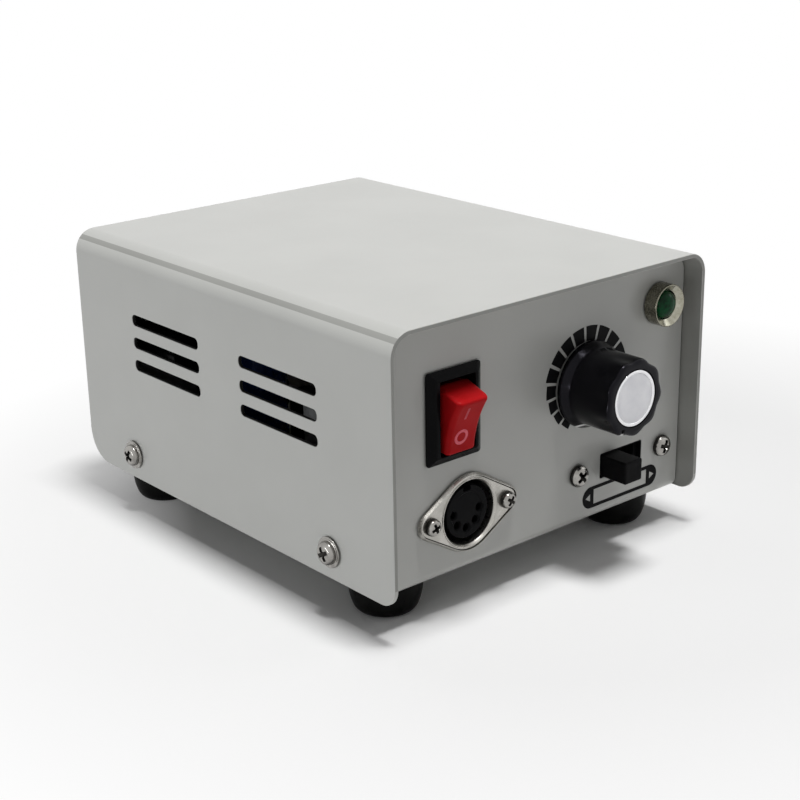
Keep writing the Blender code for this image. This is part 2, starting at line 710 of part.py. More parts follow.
def make_feet(under):
    """Turned tapered feet, each with a screw up its well."""
    names = ("left_front", "left_rear", "right_front", "right_rear")
    bore = SCREW_SHANK + FIT_GAP
    for name, (x, y) in zip(names, foot_places()):
        rings = [
            circle(bore, FOOT_HEIGHT),
            circle(FOOT_TOP_RADIUS, FOOT_HEIGHT),
            circle(FOOT_BOTTOM_RADIUS, FOOT_EDGE_ROUND),
            circle(FOOT_BOTTOM_RADIUS - FOOT_EDGE_ROUND * FOOT_EDGE_BREAK_SHARE, FOOT_EDGE_ROUND * FOOT_EDGE_BREAK_SHARE),
            circle(FOOT_BOTTOM_RADIUS - FOOT_EDGE_ROUND, 0),
            circle(FOOT_WELL_RADIUS, 0),
            circle(FOOT_WELL_RADIUS, FOOT_WELL_DEPTH),
            circle(bore, FOOT_WELL_DEPTH),
        ]
        foot = piece(f"foot_{name}", "black_rubber", rings, wrap=True)
        foot.location = (x, y, 0)
        screw_tip = FOOT_HEIGHT + FIT_GAP + CHASSIS_SHEET + FOOT_SCREW_TIP - FOOT_WELL_DEPTH
        pan_screw(f"foot_screw_{name}", under, x, -y, SCREW_HEAD, SCREW_HEAD_HEIGHT, SCREW_SHANK, screw_tip)


def switch_window_width():
    """Width of the opening that the rocker tilts in."""
    return ROCKER_WIDTH + 2 * ROCKER_SIDE_GAP


def switch_body_width():
    """Width of the switch body behind the panel."""
    return switch_window_width() + 2 * SWITCH_BODY_WALL


def switch_body_height():
    """Height of the switch body behind the panel."""
    return ROCKER_WINDOW_HEIGHT + 2 * (SWITCH_BODY_WALL / 3)


def make_power_switch(front):
    """Housing with its bezel, the rocker on its pins, and two blades."""
    body = (switch_body_width(), switch_body_height())
    bezel = (BEZEL_WIDTH, BEZEL_HEIGHT)
    lip = (BEZEL_WIDTH - 2 * BEZEL_CHAMFER, BEZEL_HEIGHT - 2 * BEZEL_CHAMFER)
    window = (switch_window_width(), ROCKER_WINDOW_HEIGHT)
    rings = [
        rounded_ring(*body, SWITCH_CORNER, -SWITCH_BODY_DEPTH),
        rounded_ring(*body, SWITCH_CORNER, FIT_GAP),
        rounded_ring(*bezel, BEZEL_CORNER, FIT_GAP),
        rounded_ring(*bezel, BEZEL_CORNER, BEZEL_EDGE),
        rounded_ring(*lip, BEZEL_CORNER, BEZEL_REACH),
        rounded_ring(*window, SWITCH_CORNER, BEZEL_REACH),
        rounded_ring(*window, SWITCH_CORNER, SWITCH_FLOOR - SWITCH_BODY_DEPTH),
    ]
    housing = seat(piece("rocker_housing", "black_plastic", rings), front, ROCKER_X, ROCKER_HEIGHT)
    hole = circle_at(0, -ROCKER_PIVOT_DEPTH, ROCKER_PIN_RADIUS + FIT_GAP, 0)
    wide = body[0] / 2 + OVERRUN
    combine(housing, helper("rocker_pin_holes", [bar(flat(hole), -wide, wide, along_x)]), "DIFFERENCE")

    rocker = piece("power_rocker", "red_plastic",
                   bar(rocker_profile(), -ROCKER_WIDTH / 2, ROCKER_WIDTH / 2, along_x))
    seat(rocker, front, ROCKER_X, ROCKER_HEIGHT, -ROCKER_PIVOT_DEPTH)
    rocker.rotation_euler = (ROCKER_TILT, 0, 0)
    soften(rocker, ROCKER_EDGE_ROUND)
    pin = flat(circle(ROCKER_PIN_RADIUS, 0, SMALL_SIDES))
    reach = ROCKER_WIDTH / 2 + ROCKER_PIN_REACH
    combine(rocker, helper("rocker_pins", [bar(pin, -reach, reach, along_x)]), "UNION")

    for name, sign in (("line", 1), ("load", -1)):
        start = -(SWITCH_BODY_DEPTH + FIT_GAP)
        outline = [(-TERMINAL_WIDTH / 2, start), (-TERMINAL_WIDTH / 2, start - TERMINAL_LENGTH),
                   (TERMINAL_WIDTH / 2, start - TERMINAL_LENGTH), (TERMINAL_WIDTH / 2, start)]
        blade = piece(f"rocker_terminal_{name}", "brass",
                      bar(outline, -TERMINAL_SHEET / 2, TERMINAL_SHEET / 2, along_y))
        seat(blade, front, ROCKER_X, ROCKER_HEIGHT + sign * TERMINAL_SPACING / 2)
        eye = circle_at(0, start - TERMINAL_LENGTH / 2, TERMINAL_HOLE, 0)
        combine(blade, helper(f"rocker_terminal_eye_{name}",
                              [bar(flat(eye), -TERMINAL_SHEET, TERMINAL_SHEET, along_y)]), "DIFFERENCE")


def rocker_profile():
    """Side outline of the rocker about its pins: hollow face, slanted ends, short tail."""
    end = ROCKER_WINDOW_HEIGHT / 2 - ROCKER_END_GAP
    points = []
    for step in range(ROCKER_FACE_STEPS + 1):
        share = 1 - 2 * step / ROCKER_FACE_STEPS
        depth = ROCKER_HOLLOW * (1 - share * share)
        points.append((share * ROCKER_CREST_HALF, ROCKER_CREST_REACH - depth))
    shoulder = math.sqrt(end * end - ROCKER_SHOULDER * ROCKER_SHOULDER)
    points += [(-shoulder, ROCKER_SHOULDER), (-end, 0), (-ROCKER_TAIL_HALF, -ROCKER_TAIL)]
    points += [(ROCKER_TAIL_HALF, -ROCKER_TAIL), (end, 0), (shoulder, ROCKER_SHOULDER)]
    return points


def lozenge(inset, level):
    """Ring round two ears and a round middle, drawn in by an inset."""
    lean = math.acos((SOCKET_BODY_RADIUS - SOCKET_EAR_RADIUS) / SOCKET_SCREW_OFFSET)
    points = []
    for side in range(ROUND_SIDES):
        turn = math.tau * side / ROUND_SIDES
        sideways = math.cos(turn)
        on_ear = abs(sideways) > math.cos(lean)
        radius = (SOCKET_EAR_RADIUS if on_ear else SOCKET_BODY_RADIUS) - inset
        middle = math.copysign(SOCKET_SCREW_OFFSET, sideways) if on_ear else 0
        points.append((middle + radius * sideways, radius * math.sin(turn), level))
    return points


def make_socket(front):
    """Flange with its shell, the moulded insert and two screws."""
    plate = FIT_GAP + SOCKET_PLATE
    rim = plate + SOCKET_RIM_HEIGHT
    shell = SOCKET_BORE + SOCKET_SHELL_WALL
    rings = [
        lozenge(0, FIT_GAP),
        lozenge(0, rim - SOCKET_RIM_HEIGHT / 2),
        lozenge(SOCKET_RIM_WIDTH / 2, rim),
        lozenge(SOCKET_RIM_WIDTH, rim),
        lozenge(SOCKET_RIM_WIDTH + SOCKET_RIM_SLOPE, plate),
        circle(SOCKET_BORE, plate),
        circle(SOCKET_BORE, -SOCKET_SHELL_DEPTH),
        circle(shell, -SOCKET_SHELL_DEPTH),
        circle(shell, FIT_GAP),
    ]
    flange = seat(piece("socket_flange", "nickel", rings, wrap=True), front, SOCKET_X, SOCKET_HEIGHT)
    holes = []
    for sign in (-1, 1):
        place = sign * SOCKET_SCREW_OFFSET
        holes.append([circle_at(place, 0, SCREW_SHANK + FIT_GAP, -OVERRUN),
                      circle_at(place, 0, SCREW_SHANK + FIT_GAP, rim + OVERRUN)])
    combine(flange, helper("socket_ear_holes", holes), "DIFFERENCE")

    face = plate - SOCKET_RECESS
    back = -(SOCKET_SHELL_DEPTH - FIT_GAP)
    base = SOCKET_BORE - FIT_GAP
    rings = [
        circle(base, back),
        circle(base, back + INSERT_BASE_DEPTH),
        circle(INSERT_FACE_RADIUS, back + INSERT_BASE_DEPTH),
        circle(INSERT_FACE_RADIUS, face),
    ]
    insert = seat(piece("socket_insert", "black_plastic", rings), front, SOCKET_X, SOCKET_HEIGHT)
    tails, holes = [], []
    for pin in range(PIN_COUNT):
        turn = math.pi + PIN_FAN * pin / (PIN_COUNT - 1)
        x, y = PIN_CIRCLE * math.cos(turn), PIN_CIRCLE * math.sin(turn)
        tails.append([circle_at(x, y, PIN_TAIL_RADIUS, back - PIN_TAIL_LENGTH),
                      circle_at(x, y, PIN_TAIL_RADIUS, back + INSERT_BASE_DEPTH / 2)])
        holes.append([circle_at(x, y, PIN_HOLE, face - PIN_HOLE_DEPTH),
                      circle_at(x, y, PIN_HOLE, face + OVERRUN)])
    combine(insert, helper("socket_pin_tails", tails), "UNION")
    key_middle = INSERT_FACE_RADIUS - KEY_DEPTH / 2 + OVERRUN / 2
    holes.append([square_ring(KEY_WIDTH, KEY_DEPTH + OVERRUN, face - PIN_HOLE_DEPTH, 0, key_middle),
                  square_ring(KEY_WIDTH, KEY_DEPTH + OVERRUN, face + OVERRUN, 0, key_middle)])
    combine(insert, helper("socket_pin_holes", holes), "DIFFERENCE")

    for side, sign in (("left", -1), ("right", 1)):
        pan_screw(f"socket_screw_{side}", front, SOCKET_X + sign * SOCKET_SCREW_OFFSET, SOCKET_HEIGHT,
                  SCREW_HEAD - SOCKET_RIM_WIDTH, SCREW_HEAD_HEIGHT, SCREW_SHANK, PANEL_SCREW_TIP,
                  plate + FIT_GAP)


def make_lamp(front):
    """Bright bezel with a reflector cone, green lens and nut."""
    bore = LED_RADIUS + FIT_GAP
    rings = [
        circle(LAMP_THREAD_RADIUS, -LAMP_THREAD_DEPTH),
        circle(LAMP_THREAD_RADIUS, FIT_GAP),
        circle(LAMP_RADIUS, FIT_GAP),
        circle(LAMP_RADIUS, LAMP_REACH - LAMP_EDGE_DROP),
        circle(LAMP_RADIUS - LAMP_EDGE_DROP / 4, LAMP_REACH - LAMP_EDGE_DROP / 3),
        circle(LAMP_RADIUS - LAMP_LIP, LAMP_REACH),
        circle((LAMP_RADIUS + bore) / 2, LAMP_REACH - LAMP_CONE_DEPTH * LAMP_CONE_BEND_SHARE),
        circle(bore, LAMP_REACH - LAMP_CONE_DEPTH),
        circle(bore, -LAMP_THREAD_DEPTH),
    ]
    seat(piece("lamp_bezel", "nickel", rings, wrap=True), front, LAMP_X, LAMP_HEIGHT)

    rings = [circle(LED_RADIUS, -LED_DEPTH)]
    for step in range(CORNER_STEPS):
        rise = math.pi / 2 * step / CORNER_STEPS
        rings.append(circle(LED_RADIUS * math.cos(rise), LED_TIP - LED_RADIUS + LED_RADIUS * math.sin(rise)))
    seat(piece("lamp_lens", "green_lens", rings), front, LAMP_X, LAMP_HEIGHT)
    hex_nut("lamp_nut", "nickel", front, LAMP_X, LAMP_HEIGHT, LAMP_THREAD_RADIUS, LAMP_NUT_FLATS,
            PANEL_BACK - LAMP_NUT_THICKNESS, PANEL_BACK)


def hex_nut(name, finish, frame, x, y, thread_radius, flats, low, high):
    """Hexagon nut with a round bore."""
    nut = piece(name, finish, [hexagon(flats, low), hexagon(flats, high)])
    seat(nut, frame, x, y)
    bore = thread_radius + FIT_GAP
    cutter = helper(f"{name}_bore", [[circle(bore, low - OVERRUN), circle(bore, high + OVERRUN)]])
    return combine(nut, cutter, "DIFFERENCE")


def lobed_ring(radius, level, depth):
    """Ring with rounded lobes parted by flutes of a given depth."""
    sides = KNOB_LOBES * KNOB_LOBE_STEPS
    points = []
    for side in range(sides):
        turn = math.tau * side / sides
        flute = ((1 - math.cos(KNOB_LOBES * turn)) / 2) ** KNOB_FLUTE_SHARPNESS
        reach = radius - depth * flute
        points.append((reach * math.cos(turn), reach * math.sin(turn), level))
    return points


def make_speed_control(front):
    """Potentiometer, its shaft and nut, and the knob with its cap."""
    front_face = KNOB_REACH
    skirt_top = KNOB_GAP + KNOB_SKIRT_THICKNESS
    flute_start = skirt_top + KNOB_FLUTE_START_SHARE * (front_face - skirt_top)
    flute_full = skirt_top + KNOB_FLUTE_FULL_SHARE * (front_face - skirt_top)
    middle_radius = (KNOB_NECK_RADIUS + KNOB_FRONT_RADIUS) / 2
    bore = SHAFT_RADIUS + FIT_GAP
    cap_seat = CAP_RADIUS + FIT_GAP
    bore_end = KNOB_GAP + KNOB_BORE_DEPTH
    profile = [
        (bore, bore_end, 0),
        (bore, KNOB_GAP + KNOB_WELL_DEPTH, 0),
        (KNOB_WELL_RADIUS, KNOB_GAP + KNOB_WELL_DEPTH, 0),
        (KNOB_WELL_RADIUS, KNOB_GAP, 0),
        (KNOB_SKIRT_RADIUS, KNOB_GAP, 0),
        (KNOB_SKIRT_RADIUS, skirt_top - KNOB_EDGE_ROUND / 2, 0),
        (KNOB_SKIRT_RADIUS - KNOB_EDGE_ROUND / 2, skirt_top, 0),
        (KNOB_NECK_RADIUS, skirt_top + KNOB_EDGE_ROUND, 0),
        (middle_radius, flute_start, 0),
        (KNOB_FRONT_RADIUS, flute_full, KNOB_FLUTE_DEPTH),
        (KNOB_FRONT_RADIUS, front_face - KNOB_EDGE_ROUND, KNOB_FLUTE_DEPTH),
        (KNOB_FRONT_RADIUS - KNOB_EDGE_ROUND, front_face, KNOB_FLUTE_DEPTH),
        (cap_seat, front_face, 0),
        (cap_seat, front_face - CAP_THICKNESS - FIT_GAP, 0),
    ]
    rings = [lobed_ring(radius, level, depth) for radius, level, depth in profile]
    seat(piece("speed_knob", "black_plastic", rings), front, KNOB_X, KNOB_HEIGHT)

    cap_low = front_face - CAP_THICKNESS
    rings = [
        circle(CAP_RADIUS, cap_low),
        circle(CAP_RADIUS, front_face - CAP_EDGE_ROUND),
        circle(CAP_RADIUS - CAP_EDGE_ROUND, front_face),
    ]
    seat(piece("knob_cap", "silver_cap", rings), front, KNOB_X, KNOB_HEIGHT)
    rings = [circle(SHAFT_RADIUS, -SHAFT_TAIL), circle(SHAFT_RADIUS, bore_end - FIT_GAP)]
    seat(piece("pot_shaft", "nickel", rings), front, KNOB_X, KNOB_HEIGHT)

    back = PANEL_BACK - POT_DEPTH
    rings = [
        circle(POT_RADIUS - POT_EDGE_ROUND, back),
        circle(POT_RADIUS, back + POT_EDGE_ROUND),
        circle(POT_RADIUS, PANEL_BACK),
        circle(BUSHING_RADIUS, PANEL_BACK),
        circle(BUSHING_RADIUS, BUSHING_REACH),
        circle(bore, BUSHING_REACH),
        circle(bore, -(SHAFT_TAIL + FIT_GAP)),
    ]
    pot = seat(piece("potentiometer", "zinc", rings), front, KNOB_X, KNOB_HEIGHT)
    lugs = []
    for lug in range(POT_LUGS):
        x = (lug - (POT_LUGS - 1) / 2) * POT_LUG_PITCH
        low = -(POT_RADIUS + POT_LUG_LENGTH)
        centre = (low - POT_RADIUS / 2) / 2
        tall = -POT_RADIUS / 2 - low
        middle = back + POT_DEPTH / 3
        lugs.append([square_ring(POT_LUG_WIDTH, tall, middle, x, centre),
                     square_ring(POT_LUG_WIDTH, tall, middle + POT_LUG_SHEET, x, centre)])
    combine(pot, helper("pot_lugs", lugs), "UNION")
    hex_nut("pot_nut", "nickel", front, KNOB_X, KNOB_HEIGHT, BUSHING_RADIUS, POT_NUT_FLATS,
            FIT_GAP, FIT_GAP + POT_NUT_THICKNESS)


def slider_slot_width():
    """Width of the panel slot for the slider and its travel."""
    return SLIDER_WIDTH + 2 * (SLIDER_TRAVEL + SLIDER_END_GAP)


def slider_slot_height():
    """Height of the panel slot for the slider."""
    return SLIDER_HEIGHT + 2 * SLIDER_SIDE_GAP


def make_direction_switch(front):
    """Slide switch behind the panel, its slider and its two screws."""
    plate_front = PANEL_BACK
    plate_back = plate_front - SLIDE_PLATE_SHEET
    carriage_top = plate_back - FIT_GAP
    carriage_low = carriage_top - CARRIAGE_THICKNESS
    carriage = (SLIDER_WIDTH + 2 * CARRIAGE_MARGIN, SLIDER_HEIGHT + 2 * CARRIAGE_MARGIN)
    room = (carriage[0] + 2 * (SLIDER_TRAVEL + SLIDER_END_GAP), carriage[1] + 2 * FIT_GAP)
    box = (room[0] + 2 * SLIDE_BOX_WALL, room[1] + 2 * SLIDE_BOX_WALL)
    plate = (2 * (SLIDE_SCREW_OFFSET + SLIDE_PLATE_END), SLIDE_PLATE_HEIGHT)
    slot = (slider_slot_width(), slider_slot_height())
    rings = [
        rounded_ring(*plate, SLIDE_PLATE_CORNER, plate_front),
        rounded_ring(*slot, SLIDER_CORNER, plate_front),
        rounded_ring(*slot, SLIDER_CORNER, plate_back),
        rounded_ring(*room, SLIDER_CORNER, plate_back),
        rounded_ring(*room, SLIDER_CORNER, plate_back - SLIDE_BOX_DEPTH),
        rounded_ring(*box, SLIDE_BOX_CORNER, plate_back - SLIDE_BOX_DEPTH),
        rounded_ring(*box, SLIDE_BOX_CORNER, plate_back),
        rounded_ring(*plate, SLIDE_PLATE_CORNER, plate_back),
    ]
    frame = seat(piece("slide_frame", "zinc", rings, wrap=True), front, SLIDE_X, SLIDE_HEIGHT)
    holes = []
    for sign in (-1, 1):
        place = sign * SLIDE_SCREW_OFFSET
        holes.append([circle_at(place, 0, SCREW_SHANK + FIT_GAP, plate_back - OVERRUN),
                      circle_at(place, 0, SCREW_SHANK + FIT_GAP, plate_front + OVERRUN)])
    combine(frame, helper("slide_ear_holes", holes), "DIFFERENCE")

    rings = [
        rounded_ring(*carriage, SLIDER_CORNER, carriage_low),
        rounded_ring(*carriage, SLIDER_CORNER, carriage_top),
        rounded_ring(SLIDER_WIDTH, SLIDER_HEIGHT, SLIDER_CORNER, carriage_top),
        rounded_ring(SLIDER_WIDTH, SLIDER_HEIGHT, SLIDER_CORNER, SLIDER_REACH - SLIDER_EDGE_ROUND),
        rounded_ring(SLIDER_WIDTH - 2 * SLIDER_EDGE_ROUND, SLIDER_HEIGHT - 2 * SLIDER_EDGE_ROUND,
                     SLIDER_CORNER, SLIDER_REACH),
    ]
    seat(piece("direction_slider", "black_plastic", rings), front, SLIDE_X - SLIDER_TRAVEL, SLIDE_HEIGHT)

    base = (room[0] - 2 * FIT_GAP, room[1] - 2 * FIT_GAP)
    base_top = carriage_low - FIT_GAP
    base_low = plate_back - SLIDE_BOX_DEPTH
    rings = [rounded_ring(*base, SLIDER_CORNER, base_low), rounded_ring(*base, SLIDER_CORNER, base_top)]
    block = seat(piece("slide_contact_base", "winding_tape", rings), front, SLIDE_X, SLIDE_HEIGHT)
    pins = []
    for column in range(SLIDE_PIN_COLUMNS):
        for row in range(SLIDE_PIN_ROWS):
            x = (column - (SLIDE_PIN_COLUMNS - 1) / 2) * SLIDE_PIN_PITCH
            y = (row - (SLIDE_PIN_ROWS - 1) / 2) * SLIDE_PIN_PITCH
            pins.append([square_ring(SLIDE_PIN_WIDTH, SLIDE_PIN_WIDTH, base_low - SLIDE_PIN_LENGTH, x, y),
                         square_ring(SLIDE_PIN_WIDTH, SLIDE_PIN_WIDTH, (base_low + base_top) / 2, x, y)])
    combine(block, helper("slide_pins", pins), "UNION")

    for side, sign in (("left", -1), ("right", 1)):
        pan_screw(f"slide_screw_{side}", front, SLIDE_X + sign * SLIDE_SCREW_OFFSET, SLIDE_HEIGHT,
                  SCREW_HEAD, SCREW_HEAD_HEIGHT, SCREW_SHANK, PANEL_SCREW_TIP)


def ribbed_ring(radius, level, depth):
    """Ring of the ribbed grip of the fuse cap."""
    sides = FUSE_CAP_RIBS * FUSE_CAP_RIB_STEPS
    points = []
    for side in range(sides):
        turn = math.tau * side / sides
        reach = radius - depth * (1 - math.cos(FUSE_CAP_RIBS * turn)) / 2
        points.append((reach * math.cos(turn), reach * math.sin(turn), level))
    return points


def make_fuse_holder(rear):
    """Panel fuse holder: body, nut, cap and glass fuse."""
    flange_top = FIT_GAP + FUSE_FLANGE_THICKNESS
    rings = [
        circle(FUSE_BODY_RADIUS, -FUSE_BODY_DEPTH),
        circle(FUSE_BODY_RADIUS, FIT_GAP),
        circle(FUSE_FLANGE_RADIUS, FIT_GAP),
        circle(FUSE_FLANGE_RADIUS, flange_top),
        circle(FUSE_BORE, flange_top),
        circle(FUSE_BORE, FUSE_FLOOR - FUSE_BODY_DEPTH),
    ]
    seat(piece("fuse_holder_body", "black_plastic", rings), rear, -FUSE_X, FUSE_HEIGHT)
    hex_nut("fuse_holder_nut", "black_plastic", rear, -FUSE_X, FUSE_HEIGHT, FUSE_BODY_RADIUS,
            FUSE_NUT_FLATS, PANEL_BACK - FUSE_NUT_THICKNESS, PANEL_BACK)

    grip_low = flange_top + FIT_GAP
    plug_radius = FUSE_BORE - FIT_GAP
    plug_low = grip_low - FUSE_PLUG_LENGTH
    pocket = FUSE_LINK_RADIUS + FIT_GAP
    link_top = plug_low + FUSE_LINK_INSET
    profile = [
        (pocket, link_top + FIT_GAP, 0),
        (pocket, plug_low, 0),
        (plug_radius, plug_low, 0),
        (plug_radius, grip_low, 0),
        (FUSE_CAP_RADIUS, grip_low, 0),
        (FUSE_CAP_RADIUS, grip_low + FUSE_CAP_EDGE_ROUND, 0),
        (FUSE_CAP_RADIUS, grip_low + 2 * FUSE_CAP_EDGE_ROUND, FUSE_CAP_RIB_DEPTH),
        (FUSE_CAP_RADIUS, FUSE_CAP_REACH - FUSE_CAP_EDGE_ROUND, FUSE_CAP_RIB_DEPTH),
        (FUSE_CAP_RADIUS - FUSE_CAP_EDGE_ROUND, FUSE_CAP_REACH, 0),
    ]
    rings = [ribbed_ring(radius, level, depth) for radius, level, depth in profile]
    cap = seat(piece("fuse_cap", "black_plastic", rings), rear, -FUSE_X, FUSE_HEIGHT)
    wide = 2 * (FUSE_CAP_RADIUS + OVERRUN)
    slot = [square_ring(wide, FUSE_SLOT_WIDTH, FUSE_CAP_REACH - FUSE_SLOT_DEPTH),
            square_ring(wide, FUSE_SLOT_WIDTH, FUSE_CAP_REACH + OVERRUN)]
    combine(cap, helper("fuse_cap_slot", [slot]), "DIFFERENCE")

    low = link_top - FUSE_LINK_LENGTH
    rings = [
        circle(FUSE_LINK_RADIUS, low, SMALL_SIDES),
        circle(FUSE_LINK_RADIUS, low + FUSE_LINK_CAP_LENGTH, SMALL_SIDES),
        circle(FUSE_GLASS_RADIUS, low + FUSE_LINK_CAP_LENGTH, SMALL_SIDES),
        circle(FUSE_GLASS_RADIUS, link_top - FUSE_LINK_CAP_LENGTH, SMALL_SIDES),
        circle(FUSE_LINK_RADIUS, link_top - FUSE_LINK_CAP_LENGTH, SMALL_SIDES),
        circle(FUSE_LINK_RADIUS, link_top, SMALL_SIDES),
    ]
    seat(piece("fuse_link", "glass", rings), rear, -FUSE_X, FUSE_HEIGHT)


def make_grommet(rear):
    """Rubber grommet that the mains lead passes through."""
    outer_top = FIT_GAP + GROMMET_LIP_THICKNESS
    inner_low = PANEL_BACK - GROMMET_LIP_THICKNESS
    rings = [
        circle(GROMMET_BORE, outer_top),
        circle(GROMMET_LIP - GROMMET_LIP_TAPER, outer_top),
        circle(GROMMET_LIP, outer_top - GROMMET_LIP_TAPER),
        circle(GROMMET_LIP, FIT_GAP),
        circle(GROMMET_NECK, FIT_GAP),
        circle(GROMMET_NECK, PANEL_BACK),
        circle(GROMMET_LIP, PANEL_BACK),
        circle(GROMMET_LIP, inner_low + GROMMET_LIP_TAPER),
        circle(GROMMET_LIP - GROMMET_LIP_TAPER, inner_low),
        circle(GROMMET_BORE, inner_low),
    ]
    seat(piece("mains_grommet", "black_rubber", rings, wrap=True), rear, -GROMMET_X, GROMMET_HEIGHT)


def make_pedal_jack(rear):
    """Jack socket for the foot pedal, with its ring nut."""
    rings = [
        circle(JACK_BODY_RADIUS, -JACK_BODY_DEPTH),
        circle(JACK_BODY_RADIUS, PANEL_BACK),
        circle(JACK_THREAD_RADIUS, PANEL_BACK),
        circle(JACK_THREAD_RADIUS, JACK_REACH),
        circle(JACK_BORE, JACK_REACH),
        circle(JACK_BORE, JACK_FLOOR - JACK_BODY_DEPTH),
    ]
    seat(piece("pedal_jack", "black_plastic", rings), rear, -JACK_X, JACK_HEIGHT)
    bore = JACK_THREAD_RADIUS + FIT_GAP
    top = FIT_GAP + JACK_NUT_THICKNESS
    rings = [
        circle(bore, top),
        circle(JACK_NUT_RADIUS - JACK_NUT_EDGE_ROUND, top),
        circle(JACK_NUT_RADIUS, top - JACK_NUT_EDGE_ROUND),
        circle(JACK_NUT_RADIUS, FIT_GAP),
        circle(bore, FIT_GAP),
    ]
    seat(piece("pedal_jack_nut", "nickel", rings, wrap=True), rear, -JACK_X, JACK_HEIGHT)


def strap_half_span():
    """Half of the outer width of the strap over the core."""
    return CORE_WIDTH / 2 + FIT_GAP + STRAP_SHEET


def strap_screw_places():
    """X of the two screws that hold the strap down."""
    reach = strap_half_span() + STRAP_FOOT - STRAP_HOLE_MARGIN
    return [CORE_X - reach, CORE_X + reach]


def make_transformer(inside):
    """Laminated core with two windows, wound bobbin, strap and screws."""
    low = FIT_GAP
    top = low + CORE_HEIGHT
    leg = CORE_WIDTH - 2 * CORE_LIMB - 2 * CORE_WINDOW_WIDTH
    block = [square_ring(CORE_WIDTH, CORE_STACK, low), square_ring(CORE_WIDTH, CORE_STACK, top)]
    core = seat(piece("transformer_core", "lamination", block), inside, CORE_X, CORE_Y)
    windows = []
    for sign in (-1, 1):
        x = sign * (leg + CORE_WINDOW_WIDTH) / 2
        deep = CORE_STACK + 2 * OVERRUN
        windows.append([square_ring(CORE_WINDOW_WIDTH, deep, low + CORE_LIMB, x),
                        square_ring(CORE_WINDOW_WIDTH, deep, top - CORE_LIMB, x)])
    combine(core, helper("core_windows", windows), "DIFFERENCE")

    inner = (leg + 2 * FIT_GAP, CORE_STACK + 2 * FIT_GAP)
    outer = (leg + 2 * (CORE_WINDOW_WIDTH - FIT_GAP), CORE_STACK + 2 * BOBBIN_BULGE)
    drawn = (outer[0] - 2 * BOBBIN_STEP, outer[1] - 2 * BOBBIN_STEP)
    start = low + CORE_LIMB + FIT_GAP
    end = top - CORE_LIMB - FIT_GAP
    rings = [
        rounded_ring(*inner, FIT_GAP, start),
        rounded_ring(*outer, BOBBIN_CORNER, start),
        rounded_ring(*outer, BOBBIN_CORNER, start + BOBBIN_FLANGE),
        rounded_ring(*drawn, BOBBIN_CORNER, start + BOBBIN_FLANGE),
        rounded_ring(*drawn, BOBBIN_CORNER, end - BOBBIN_FLANGE),
        rounded_ring(*outer, BOBBIN_CORNER, end - BOBBIN_FLANGE),
        rounded_ring(*outer, BOBBIN_CORNER, end),
        rounded_ring(*inner, FIT_GAP, end),
    ]
    seat(piece("transformer_winding", "winding_tape", rings, wrap=True), inside, CORE_X, CORE_Y)

    strap_top = top + FIT_GAP + STRAP_SHEET
    arch = u_profile(strap_half_span(), strap_top - FIT_GAP, STRAP_BEND_RADIUS, STRAP_SHEET)
    half = len(arch) // 2
    outer_leg = strap_half_span()
    foot_end = outer_leg + STRAP_FOOT
    foot_top = FIT_GAP + STRAP_SHEET
    section = [(-foot_end, FIT_GAP), (-foot_end, foot_top), (-outer_leg, foot_top)]
    section += [(u, strap_top - v) for u, v in arch[1:half - 1]]
    section += [(outer_leg, foot_top), (foot_end, foot_top), (foot_end, FIT_GAP)]
    section += [(u, strap_top - v) for u, v in arch[half:]]
    strap = piece("transformer_strap", "zinc", bar(section, -STRAP_WIDTH / 2, STRAP_WIDTH / 2, along_y))
    seat(strap, inside, CORE_X, CORE_Y)
    holes = []
    for x in strap_screw_places():
        holes.append([circle_at(x - CORE_X, 0, SCREW_SHANK + FIT_GAP, -OVERRUN),
                      circle_at(x - CORE_X, 0, SCREW_SHANK + FIT_GAP, foot_top + OVERRUN)])
    combine(strap, helper("strap_holes", holes), "DIFFERENCE")
    for side, x in zip(("left", "right"), strap_screw_places()):
        pan_screw(f"transformer_screw_{side}", inside, x, CORE_Y, SCREW_HEAD, SCREW_HEAD_HEIGHT,
                  SCREW_SHANK, CHASSIS_SHEET, foot_top + FIT_GAP)


def support_places():
    """Centres of the four board supports."""
    reach_x = BOARD_WIDTH / 2 - BOARD_HOLE_MARGIN
    reach_y = BOARD_LENGTH / 2 - BOARD_HOLE_MARGIN
    return [(BOARD_X + x, BOARD_Y + y) for x in (-reach_x, reach_x) for y in (-reach_y, reach_y)]


